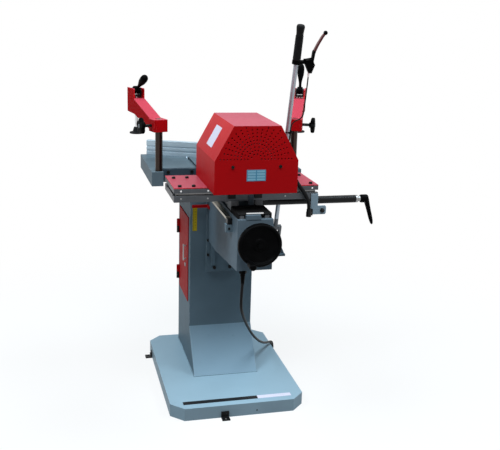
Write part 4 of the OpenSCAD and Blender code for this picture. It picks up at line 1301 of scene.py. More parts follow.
    def motor(self) -> None:
        """Makes the cable from the hood to the socket below the slide."""
        path = smooth_path(
            [
                (145.8, -338, 842.7), (157.8, -338.5, 825.6), (170.7, -340.5, 807.2), (183.6, -343.5, 788.8),
                (192.6, -345.7, 772.6), (198.2, -346.8, 755.1), (200, -347, 736.6),
            ],
            8,
        )
        made = Solid().tube(path, self.motor_d / 2, 16)
        lead = self.shop.add(
            "motor_lead", made, JACKET, "cross_slide", ["motor_cable"], crisp=60,
            blend=("top_slide", (0, 0, 738), (0, 0, 842)),
        )
        self.declare(lead, path, self.motor_d, "object", "hanging", [])

    def brake(self) -> None:
        """Makes the brake cable beside the lever bar, with its ties and end sleeve."""
        line = [
            (46.5, 0, 606.6), (46.9, 0, 585), (47.3, 0, 560), (47.5, 0, 535), (47.5, 0, 512),
            (47.5, 0, 494), (47.5, 0, 480), (46.2, 0, 471.7), (42.4, 0, 464.2), (36.4, 0, 458.2),
            (28.9, 0, 454.3), (21.4, 0, 450.5), (15.4, 0, 444.5), (11.6, 0, 437), (10.3, 0, 428.7),
            (10.3, 0, 417.7), (10.3, 0, 395.9), (10.3, 0, 371.2), (10.3, 0, 345.3),
        ]
        path = [self.lever @ p for p in smooth_path(line, 8)]
        cable = Solid().tube(path, self.brake_d / 2, 12)
        lead = self.shop.add("brake_lead", cable, JACKET, "lever", ["brake_cable"], crisp=60)
        ties, middle, radius, stretch, steps = Solid(), 5, 8.6, 3.4, 32
        for z in self.tie_zs:
            loop = []
            for a in around(steps):
                c = math.cos(a)
                pull = math.copysign(stretch, c) * abs(c) ** 0.4
                loop.append(Vector((middle + radius * c + pull, radius * math.sin(a), z)))
            for lift in (-1.2, 0, 1.2):
                ties.tube([self.lever @ (p + Vector((0, 0, lift))) for p in loop], 0.8, 6, True)
            ties.box((1, -10.5, z - 2.6), (7, -7.6, z + 2.6), self.lever)
        ties_piece = self.shop.add("brake_ties", ties, BLACK_PLASTIC, "lever")
        spot = self.lever @ shift(self.sleeve_x, 0, self.sleeve_z)
        sleeve = Solid().lathe([(0, 0), (3.6, 0), (3.6, 9), (2.8, 13), (0, 13)], spot, 20)
        end = self.shop.add("brake_end_sleeve", sleeve, STEEL, "lever")
        self.declare(lead, path, self.brake_d, "object", "taut", [ties_piece, end])

    def build(self) -> None:
        """Makes every cable."""
        self.mains()
        self.motor()
        self.brake()


@dataclass
class Stand:
    """Base pan, column, door and the guide on the column."""

    shop: Shop
    base_w: float = 472.0
    base_d: float = 628.0
    base_h: float = 45.0
    chamfer: float = 44.0
    column_w: float = 237.0
    column_y: float = 36.0
    column_far: float = 285.0
    door_x: float = -121.8
    door_y: float = 62.0
    door_w: float = 190.0
    flare: float = 117.0
    bracket_x: float = 53.0
    bracket_ys: Pair = (215.0, -110.0)
    bracket_z: float = 15.0
    bolts: Sequence[Pair] = ((29.0, 24.0, 428.0), (119.0, 10.0, 793.0), (203.0, 10.0, 793.0))
    slim_x: float = 54.0
    slim_y: float = 24.0
    slim_zs: Pair = (478.0, 534.0)
    pull: Pair = (98.0, 437.0)
    pull_h: float = 63.0
    lock: Pair = (110.0, 417.0)
    strip_xs: Pair = (-192.0, 70.0, 70.2, 191.0)
    strip_ys: Pair = (-286.0, -265.0)
    scale_x: float = -108.5
    scale_z: float = 569.0
    ticks: int = 44
    tick_step: float = 2.0
    digit_h: float = 6.0

    def base(self) -> None:
        """Makes the folded base pan with its plain strip."""
        x, y, c = self.base_w / 2, self.base_d / 2, self.chamfer
        half = [(x - c, -y), (x, -y + c), (x, y - c), (x - c, y)]
        outline = half + [(-u, v) for u, v in reversed(half)]
        pan = Solid().prism(outline, 0, self.base_h)
        pan.bevel(3.5, 3, where=lambda m, d: m.z > self.base_h - 1 or abs(d.z) > 1)
        self.shop.add("base_shell", pan, BASE_PAINT, "stand", ["base_pan"])
        # A dark disc in the earth hole as painted shade.
        hole = Solid().rod(2.6, 0, 0.4, Along.NEG_Y.at(60, -y + 0.2, 16), 20)
        self.shop.add("base_earth_hole", hole, DARK_PRINT_AND_SHADE, "stand")
        near, far = self.strip_ys
        for i, (name, finish) in enumerate((("dark", DARK_PRINT_AND_SHADE), ("pale", LABEL_PALE))):
            left, right = self.strip_xs[2 * i : 2 * i + 2]
            strip = Solid().box((left, near, self.base_h - 0.2), (right, far, self.base_h + 0.5))
            self.shop.add("base_strip_" + name, strip.bevel(0.3, 1), finish, "stand")

    def brackets(self) -> None:
        """Rounds the floor brackets and adds their bolts."""
        self.shop.soften("anchor_brackets", BLACK_STEEL, 0.9, over=3)
        spots = []
        for s, y in zip((-1, 1), self.bracket_ys):
            front = (s * self.bracket_x, s * (self.base_d / 2 + 4), self.bracket_z)
            spots.append((front, Vector((0, s, 0))))
            spots.append(((s * (self.base_w / 2 + 4), y, self.bracket_z), Vector((s, 0, 0))))
        self.shop.scatter("bracket_bolts", hex_bolt(4.4, 4), spots, BLACK_STEEL, "stand")

    def column(self) -> None:
        """Rounds the column's bends and runs a weld round its foot."""
        made = Solid.of("column_shell")
        half, far = self.column_w / 2 - 0.1, self.column_far - 0.1
        made.bevel(2.4, 3, where=lambda m, d: abs(m.x) > half and d.length > 120 and self.is_bend(m, far))
        near, end = self.door_y, self.door_y + self.door_w
        made.bevel(0.5, 1, 40, where=lambda m, d: m.x < -half + 4 and near < m.y < end)
        self.shop.add("column_shell_dressed", made, SHADED_BODY_PAINT, "stand", ["column_shell"])
        foot = self.column_y - self.flare
        corners = [(-half, foot), (half, foot), (half, far), (-half, far)]
        base = bpy.data.meshes.new("column_weld")
        ring = [(0, 1), (1, 2), (2, 3), (3, 0)]
        base.from_pydata([Vector((x, y, self.base_h + 0.6)) * MM for x, y in corners], ring, [])
        recipe = Recipe("column_weld", {"Spacing": 3.2 * MM, "Width": 2.4 * MM})
        line = recipe.node("GeometryNodeMeshToCurve", {}, {"Mesh": recipe.size("Geometry")})
        along = {"Curve": line, "Length": recipe.size("Spacing")}
        beads = recipe.node("GeometryNodeCurveToPoints", {"mode": "LENGTH"}, along, out="Points")
        ball = {"Radius": recipe.size("Width"), "Subdivisions": 2}
        bead = recipe.node("GeometryNodeMeshIcoSphere", {}, ball, out="Mesh")
        weld = recipe.run(recipe.copies(beads, bead), SHADED_BODY_PAINT, base)
        self.shop.add("column_weld", weld, SHADED_BODY_PAINT, "stand")

    def is_bend(self, middle: Vector, far: float) -> bool:
        """Whether an edge lies on one of the column's long bends."""
        return middle.y > far or middle.y < self.column_y + 0.2

    def door(self) -> None:
        """Rounds the door and its hinges and makes the pull with its lock."""
        self.shop.soften("door_panel", DULL_RED, 0.9, over=4)
        self.shop.soften("door_hinges", BLACK_STEEL, 0.7, over=3)
        x, (y, z), r = self.door_x, self.pull, 2.6
        pull = Solid().box((x - 12, y - r, z), (x - 8.4, y + r, z + self.pull_h)).bevel(1.4, 3)
        for dz in (6, self.pull_h - 6):
            pull.rod(r, 0, 9, Along.NEG_X.at(x + 0.2, y, z + dz), 28)
        self.shop.add("door_pull", pull, PULL_STEEL, "door", ["door_handle"])
        y, z = self.lock
        profile = [(0, 0), (8, 0), (8, 2), (6, 3), (0, 3)]
        lock = Solid().lathe(profile, Along.NEG_X.at(x, y, z), 32, soft=0.6)
        self.shop.add("door_lock", lock, STEEL, "door")
        # A dark sliver in the lock's key slot as painted shade.
        slot = Solid().box((x - 3.3, y - 0.7, z - 3.6), (x - 2.8, y + 0.7, z + 3.6))
        self.shop.add("door_lock_slot", slot, DARK_PRINT_AND_SHADE, "door")

    def guide(self) -> None:
        """Dresses the lift guide, its bolts and the height scale."""
        self.shop.soften("guide_plate", SHADED_BODY_PAINT, 1.2)
        self.shop.dress(SHADED_BODY_PAINT, "lift_guide")
        sides = (-1, 1)
        slim = Along.NEG_Y.spots(*[(s * self.slim_x, self.slim_y, z) for s in sides for z in self.slim_zs])
        spots = Along.NEG_Y.spots(*[(s * x, y, z) for s in sides for x, y, z in self.bolts])
        self.shop.scatter("guide_screws", cap_screw(5, 6), slim, BLACK_STEEL, "stand")
        self.shop.scatter("stand_screws", cap_screw(6, 6), spots, BLACK_STEEL, "stand", ["stand_bolts"])
        self.scale()

    def scale(self) -> None:
        """Makes the yellow height scale with its row of ticks and numbers."""
        self.shop.soften("height_scale", YELLOW, 0.3, 1)
        y = self.column_y - 1.05
        sizes = {"Count": self.ticks, "Step": self.tick_step * MM, "Long": 7.0 * MM, "Line": 0.45 * MM}
        recipe = Recipe("scale_ticks", sizes)
        row = recipe.row("Count", "Step")
        size = recipe.xyz(X=recipe.size("Long"), Y=0.3 * MM, Z=recipe.size("Line"))
        bar = recipe.node("GeometryNodeMeshCube", {}, {"Size": size}, out="Mesh")
        half = recipe.xyz(X=recipe.size("Long") * 0.5)
        flush = recipe.node("GeometryNodeTransform", {}, {"Geometry": bar, "Translation": half})
        fifth = recipe.node("GeometryNodeInputIndex").maths("MODULO", 5.0).maths("LESS_THAN", 0.5)
        reach = recipe.xyz(X=fifth * 0.45 + 0.55, Y=1.0, Z=1.0)
        ticks = recipe.run(recipe.copies(row, flush, Scale=reach), TICK_BLACK)
        ticks.transform(Matrix.Translation(Vector((self.scale_x, y, self.scale_z)) * MM))
        self.shop.add("scale_ticks", ticks, TICK_BLACK, "stand")
        for k in range(1, 9):
            self.number(str(k), (self.scale_x + 8, y, self.scale_z - 1.8 + 5 * self.tick_step * k))

    def number(self, word: str, place: Pair) -> None:
        """Stamps one number of the scale, as a thin mesh.

        Args:
            word: The number.
            place: Its lower left corner.
        """
        text = bpy.data.curves.new("scale_number", "FONT")
        text.body, text.size, text.extrude = word, self.digit_h * MM, 0.1 * MM
        obj = bpy.data.objects.new("scale_number_maker", text)
        bpy.context.scene.collection.objects.link(obj)
        graph = bpy.context.evaluated_depsgraph_get()
        mesh = bpy.data.meshes.new_from_object(obj.evaluated_get(graph))
        bpy.data.objects.remove(obj)
        mesh.transform(Matrix.Translation(Vector(place) * MM) @ turned(90, "X"))
        self.shop.add("scale_number_" + word, mesh, TICK_BLACK, "stand")

    def build(self) -> None:
        """Makes the whole stand."""
        self.base()
        self.brackets()
        self.column()
        self.door()
        self.guide()


@dataclass
class Table:
    """Work table with its front rail and fence."""

    shop: Shop
    table_round: float = 1.6
    rail_round: float = 1.0
    fence_round: float = 0.5

    def build(self) -> None:
        """Rounds the table's edges and dresses the fence."""
        self.shop.soften("work_table", SHADED_TABLE_PAINT, self.table_round, over=8)
        self.shop.soften("table_apron", RAIL_PAINT, self.rail_round)
        self.shop.soften("fence", FENCE_METAL, self.fence_round, over=3)


@dataclass
class Clamp:
    """One hold-down clamp: post, arm, cam lever, spindle and knob."""

    shop: Shop
    side: int
    swing: float
    lean: float
    post_x: float = 240.0
    post_y: float = -25.0
    post_d: float = 25.0
    low_z: float = 775.0
    top_z: float = 984.0
    block_z: float = 942.0
    pocket_z: float = 1034.0
    cam_z: float = 1062.0
    reach: float = 190.0
    foot_z: float = 917.0
    spindle_d: float = 12.0
    foot_r: float = 25.0
    cheek_x: float = 11.0
    cheek_y: float = 14.3
    cheek: float = 4.0
    hub_r: float = 14.0
    pin_r: float = 3.9
    knob_x: float = 21.0

    @property
    def name(self) -> str:
        """Which side the clamp stands on."""
        return "left" if self.side < 0 else "right"

    @property
    def place(self) -> Matrix:
        """Place of the post, with the arm along its own Y."""
        return shift(self.side * self.post_x, self.post_y, 0) @ turned(self.swing, "Z")

    @property
    def tip(self) -> Matrix:
        """Place of the spindle's axis at the arm's end."""
        return self.place @ shift(0, self.reach, 0)

    def add(self, part: str, made: Solid, finish: Finish, body: str, node: str = "") -> None:
        """Adds one of the clamp's pieces, with its names after the clamp's side."""
        nodes = [f"{self.name}_{node}"] if node else []
        self.shop.add(f"{self.name}_{part}", made, finish, f"{self.name}_{body}", nodes)

    def post(self) -> None:
        """Turns the post, with a chamfer and a centre hole."""
        r, low, top = self.post_d / 2, self.low_z, self.top_z
        line = [(0, low), (r, low), (r, top - 2), (r - 2, top), (4, top), (4, top - 6), (0, top - 6)]
        made = Solid().lathe(line, self.place, 48)
        self.add("post_turned", made, POST_STEEL, "pillar", "post")

    def arm(self) -> None:
        """Rounds the cast arm's edges."""
        self.shop.soften(f"{self.name}_arm", ARM_RED, 2.2, 3, over=6)

    def spindle(self) -> None:
        """Makes the steel rod, black clevis and rubber foot."""
        r, f = self.spindle_d / 2, self.foot_z
        rod = Solid().rod(r, f, self.pocket_z + 8, self.tip, 32)
        self.add("spindle_rod", rod, BRIGHT, "plunger", "spindle")
        across = self.tip @ turned(-90, "Z")
        x, y, low, high = self.cheek_x, self.cheek_y, self.pocket_z + 11, self.cam_z + 8
        clevis = Solid().box((-x, -y, self.pocket_z + 5), (x, y, self.pocket_z + 12), across)
        outline = [(-x, low), (x, low), (x, high - 7), (x - 4, high), (4 - x, high), (-x, high - 7)]
        for start in (-y, y - self.cheek):
            clevis.prism(outline, start, start + self.cheek, across @ FRONT)
        self.add("clevis", clevis.bevel(0.8, 2), BLACK_STEEL, "plunger")
        line = [
            (0, f - 10), (self.foot_r, f - 10), (self.foot_r, f - 5), (14, f - 2.5), (10.5, f + 10),
            (8, f + 14), (r - 0.2, f + 14), (r - 0.2, f + 1), (0, f + 1),
        ]
        foot = Solid().lathe(line, self.tip, 48, soft=1.5)
        self.add("foot", foot, SOFT_BLACK, "plunger")

    def cam(self) -> None:
        """Makes the cam's hub with its tapered handle and the pin."""
        hub = [(0, -10), (self.hub_r, -10), (self.hub_r, 10), (0, 10)]
        at = self.tip @ shift(0, 0, self.cam_z) @ turned(-90, "Z")
        made = Solid().lathe(hub, at @ turned(-90, "X"), 40, soft=2.0)
        line = [
            (0, 4), (6.2, 4), (5.2, 14), (5, 26), (7, 38), (12, 58), (13.5, 75), (12.8, 88), (8.5, 96.5),
            (0, 99),
        ]
        made.lathe(line, at @ turned(self.lean, "Y"), 36, soft=5)
        self.add("cam_lever", made, BLACK_PLASTIC, "eccentric", "cam")
        end = self.cheek_y + 0.3
        pin = Solid().rod(self.pin_r, -end, end, at @ turned(-90, "X"), 24)
        self.add("cam_pin", pin.bevel(0.6, 2), BLACK_STEEL, "eccentric")

    def knob(self) -> None:
        """Makes the five-lobed knob, its stem and its centre cap."""
        at = self.place @ shift(self.side * self.knob_x, 0, self.block_z + 21)
        at = at @ turned(self.side * 90, "Y")
        line = [
            (0, 31), (9, 31), (10, 35), (20, 36.5), (26.5, 38), (28, 41), (28, 47), (25.5, 50.5), (14, 52),
            (0, 52),
        ]
        made = Solid().lathe(line, at, 80, lobes=5, dip=0.24, soft=2.0)
        self.add("star_knob", made, BLACK_PLASTIC, "tightener", "knob")
        stem = Solid().rod(5, -6, 32, at, 28)
        self.add("knob_stem", stem, BLACK_STEEL, "tightener")
        cap = Solid().lathe([(0, 51), (7, 51), (7, 52.4), (5.6, 53.2), (0, 53.2)], at, 28)
        self.add("knob_cap", cap, IRON, "tightener")

    def build(self) -> None:
        """Makes the whole clamp."""
        self.post()
        self.arm()
        self.spindle()
        self.cam()
        self.knob()


@dataclass
class Knee:
    """Knee with its depth stop, bellows, handwheel and lever bracket."""

    shop: Shop
    half: float = 56.5
    near: float = -440.0
    top: float = 733.0
    low: float = 538.0
    nose: float = 571.0
    under_y: float = -118.0
    shaft_x: float = 6.0
    shaft_z: float = 662.0
    wheel_y: float = -472.0
    wheel_r: float = 69.0
    handle_r: float = 61.0
    handle_turn: float = 214.0
    stop_near: float = -366.0
    rail_near: float = -345.0
    rail_far: float = -62.0
    end_xs: Pair = (-30.0, 16.0)
    bellows_half: float = 55.0
    bellows_far: float = -329.0
    bellows_h: float = 18.2
    pleats: int = 9
    pleat_depth: float = 5.0

    def box(self) -> None:
        """Makes the welded knee with its rounded edges, boss and end block."""
        near, low, top = self.near, self.low, self.top
        outline = [(near, self.nose), (self.under_y, low), (0, low), (0, top), (near, top)]
        made = Solid().prism(outline, -self.half, self.half, SIDE).bevel(2.6, 3)
        (left, right), back = self.end_xs, near + 12
        made.box((left, near, top - 2), (right, back, top + 14))

        def on_end(m: Vector, d: Vector) -> bool:
            """Whether an edge is one of the end block's."""
            inside = left - 0.5 < m.x < right + 0.5 and m.y < back + 0.5
            return m.z > top - 1.5 and inside and d.length > 5

        made.bevel(1.0, 2, where=on_end)
        boss = [(0, 0), (15, 0), (15, 7), (9, 7), (0, 7)]
        made.lathe(boss, Along.NEG_Y.at(self.shaft_x, near + 1, self.shaft_z), 40, soft=1.2)
        self.shop.add("knee_shell", made, SHADED_KNEE_PAINT, "knee", ["knee_box"])
        self.shop.dress(IRON, "guide_shoes", "cross_rails")
        self.shop.soften("knee_pointer", DULL_RED, 0.7)
        self.shop.soften("lever_bracket", SHADED_KNEE_PAINT, 1.0, over=5)

    def depth_stop(self) -> None:
        """Makes the stop rail, its black stop and the foot below."""
        x, z = -self.half, self.top
        near, start, end = self.stop_near, self.rail_near, self.rail_far
        rail = Solid().box((x - 4, start, z - 35), (x, end, z - 12))
        rail.box((x - 16.5, start, z - 18), (x - 3.5, end, z - 12))
        self.shop.add("stop_rail", rail.bevel(0.6, 2), STOP_METAL, "knee", ["depth_stop"])
        block = Solid().box((x - 15.5, near, z - 33), (x, start, z - 15)).bevel(1.4, 2)
        self.shop.add("stop_block", block, BLACK_STEEL, "knee")
        foot = Solid().box((x - 19.5, near, z - 58), (x, start + 3, z - 33)).bevel(1.2, 2)
        self.shop.add("stop_foot", foot, SHADED_BODY_PAINT, "knee")
        spots = Along.NEG_Y.spots((x - 8, near, z - 24), (x - 10, near, z - 46))
        self.shop.scatter("stop_screws", cap_screw(4, 3), spots, BLACK_STEEL, "knee")

    def bellows(self) -> None:
        """Makes the pleated rubber cover, folded by Geometry Nodes from a plain sheet."""
        near, far, half = self.near + 13, self.bellows_far, self.bellows_half
        low, high = self.top + 0.4, self.top + self.bellows_h
        line = rounded([(-half, low), (-half, high), (half, high), (half, low)], 5, steps=4)
        rows = self.pleats * 10
        spots, faces, inward = [], [], []
        for i in range(rows + 1):
            y = near + (far - near) * i / rows
            for k, p in enumerate(line):
                ahead, behind = line[min(k + 1, len(line) - 1)], line[max(k - 1, 0)]
                way = (ahead - behind).normalized()
                spots.append(Vector((p.x, y, p.y)) * MM)
                inward.append(Vector((way.y, 0, -way.x)))
        width = len(line)
        for i in range(rows):
            for k in range(width - 1):
                a = i * width + k
                faces.append((a, a + 1, a + width + 1, a + width))
        sheet = bpy.data.meshes.new("bellows_sheet")
        sheet.from_pydata(spots, [], faces)
        keep_ways(sheet, "inward", inward)
        fold, length = self.pleat_depth * MM, (far - near) * MM
        sizes = {"Pleats": self.pleats, "Depth": fold, "Start": near * MM, "Length": length}
        recipe = Recipe("bellows_pleats", sizes)
        place = recipe.node("GeometryNodeInputPosition")
        y = recipe.node("ShaderNodeSeparateXYZ", {}, {"Vector": place}, out="Y")
        share = (y - recipe.size("Start")).maths("DIVIDE", recipe.size("Length"))
        wave = (share * recipe.size("Pleats") * (2 * math.pi)).maths("COSINE")
        depth = (wave * 0.5 + 0.5).maths("POWER", 0.7) * recipe.size("Depth")
        scaled = {0: recipe.kept("inward"), "Scale": depth}
        move = recipe.node("ShaderNodeVectorMath", {"operation": "SCALE"}, scaled)
        sheet_in = {"Geometry": recipe.size("Geometry"), "Offset": move}
        moved = recipe.node("GeometryNodeSetPosition", {}, sheet_in)
        obj = shown("bellows_maker", recipe.run(moved, SOFT_BLACK, sheet))
        wall = obj.modifiers.new("wall", "SOLIDIFY")
        wall.thickness, wall.offset = 1.2 * MM, -1.0
        mesh = settle(obj).data
        bpy.data.objects.remove(obj)
        self.shop.add(
            "bellows_cover", mesh, SOFT_BLACK, "knee", ["bellows"], crisp=70,
            blend=("cross_slide", (0, near, self.top + 7), (0, far, self.top + 7)),
        )
        bar = Solid().box((-28, near - 3, high - 2), (26, near + 1, high + 2)).bevel(0.8, 2)
        self.shop.add("bellows_bar", bar, BRIGHT, "knee")

    def wheel(self) -> None:
        """Turns the handwheel, its nut and its handle."""
        r, at = self.wheel_r, Along.NEG_Y.at(self.shaft_x, self.wheel_y, self.shaft_z)
        line = [
            (0, -22), (17, -22), (17, -6), (r - 16, -4), (r - 12, -8), (r - 4, -8), (r, -4), (r, 8),
            (r - 4, 13), (r - 9, 13), (r - 14, 5), (22, 2), (17, 6), (0, 6),
        ]
        made = Solid().lathe(line, at, 88, soft=3.2)
        self.shop.add("handwheel_turned", made, BLACK_PLASTIC, "wheel", ["handwheel"])
        self.shop.dress(STEEL, "lift_shaft")
        spots = Along.NEG_Y.spots((self.shaft_x, self.wheel_y - 6, self.shaft_z))
        self.shop.scatter("wheel_nut", hex_bolt(8.5, 6), spots, BLACK_PLASTIC, "wheel")
        turn = math.radians(self.handle_turn)
        x, z = self.handle_r * math.sin(turn), self.handle_r * math.cos(turn)
        spot = Along.NEG_Y.at(self.shaft_x + x, self.wheel_y, self.shaft_z + z)
        grip = [
            (0, -7), (4.9, -7), (4.9, 14), (8, 14), (9, 20), (11, 32), (11.2, 52), (10.4, 62), (7, 66),
            (0, 66),
        ]
        knob = Solid().lathe(grip, spot, 40, soft=2.6)
        self.shop.add("wheel_grip_turned", knob, BLACK_PLASTIC, "wheel_grip", ["wheel_handle"])

    def build(self) -> None:
        """Makes the whole knee."""
        self.box()
        self.depth_stop()
        self.bellows()
        self.wheel()


@dataclass
class Slides:
    """Cross slide and long slide with their plates, clamp tube and fittings."""

    shop: Shop
    near: float = -328.0
    low_top: float = 787.0
    tube_y: float = -230.0
    tube_z: float = 737.0
    tube_end: float = 404.0
    low_screws: Sequence[Pair] = ((-213.0, 778.0), (-128.0, 777.5), (124.0, 778.0))
    high_screws: Sequence[Pair] = ((-213.0, 802.0), (-127.0, 802.0), (214.0, 802.0))
    lever_lean: float = 163.0
    socket_x: float = 200.0
    socket_y: float = -347.0
    stop: Pair = (250.0, 728.0)
    tab_xs: Pair = (-52.0, 34.0)

    def plates(self) -> None:
        """Rounds the plates and sets the small screws in their near edge."""
        self.shop.soften("lower_plate", PLATE_METAL, 0.8, over=5)
        self.shop.soften("upper_plate", PLATE_METAL, 0.8)
        self.shop.soften("top_cover", RED_PAINT, 0.9)
        self.shop.dress(IRON, "cross_shoes", "slide_blocks")
        self.shop.dress(STEEL, "long_rails")
        low = Along.NEG_Y.spots(*[(x, self.near, z) for x, z in self.low_screws])
        high = Along.NEG_Y.spots(*[(x, self.near, z) for x, z in self.high_screws])
        self.shop.scatter("lower_edge_screws", cap_screw(2.8, 1.4), low, STEEL, "cross_slide")
        self.shop.scatter("upper_edge_screws", cap_screw(3.0, 1.4), high, BRIGHT, "top_slide")

    def clamp(self) -> None:
        """Makes the clamp tube, its steel ring and the ratchet lever."""
        tube, rim = Solid.of("lock_tube"), self.tube_end - 14
        tube.bevel(0.8, 2, where=lambda m, d: m.x > rim or (d.length > 8 and m.z > self.tube_z + 2))
        self.shop.add("lock_tube_dressed", tube, BLACK_STEEL, "cross_slide", ["lock_tube"])
        at = Along.X.at(self.tube_end + 0.3, self.tube_y, self.tube_z)
        ring = [(0, 0), (12.8, 0), (12.8, 7.5), (9, 9.5), (9, 17.7), (0, 17.7)]
        collar = Solid().lathe(ring, at, 36, soft=1.0)
        self.shop.add("lock_ring", collar, STEEL, "clamp_lever", ["lock_lever"])
        hub = [(0, 17.7), (12.5, 17.7), (14, 22), (14, 41), (11.5, 45.5), (0, 45.5)]
        lever = Solid().lathe(hub, at, 40, soft=2.2)
        grip = [(0, 0), (10, 0), (8.6, 20), (7.4, 48), (7.2, 66), (6.6, 80), (5, 91), (2.5, 97), (0, 97)]
        arm = shift(self.tube_end + 40, self.tube_y, self.tube_z) @ turned(self.lever_lean, "Y")
        lever.lathe(grip, arm, 32, soft=4)
        self.shop.add("ratchet_lever", lever, BLACK_PLASTIC, "clamp_lever")
        spots = Along.X.spots((self.tube_end + 45.5, self.tube_y, self.tube_z))
        self.shop.scatter("ratchet_screw", cap_screw(5.5, 2.5), spots, BLACK_STEEL, "clamp_lever")

    def fittings(self) -> None:
        """Makes the end bracket's stop screw, the cable socket and the rubber stops."""
        self.shop.soften("end_bracket", FITTING_PAINT, 0.9, over=3)
        x, z = self.stop
        place = Along.NEG_Y.at(x, self.near - 4, z)
        knob = [(0, 0), (7, 0), (7, 7), (5, 10), (0, 10)]
        made = Solid().lathe(knob, place, 30, soft=1.2)
        x, y = self.socket_x, self.socket_y
        socket = [(0, 712), (8.5, 712), (8.5, 727), (7.4, 729), (7.4, 737), (0, 737)]
        made.lathe(socket, shift(x, y, 0), 32)
        made.box((x, y + 4, 714), (x + 15, self.near - 4, 734))
        for x in self.tab_xs:
            made.box((x - 12, self.near - 6, self.low_top - 12), (x + 12, self.near, self.low_top + 3))
        made.bevel(0.9, 2, 40)
        self.shop.add("slide_fittings_dressed", made, BLACK_STEEL, "cross_slide", ["slide_fittings"])

    def build(self) -> None:
        """Makes both slides."""
        self.plates()
        self.clamp()
        self.fittings()


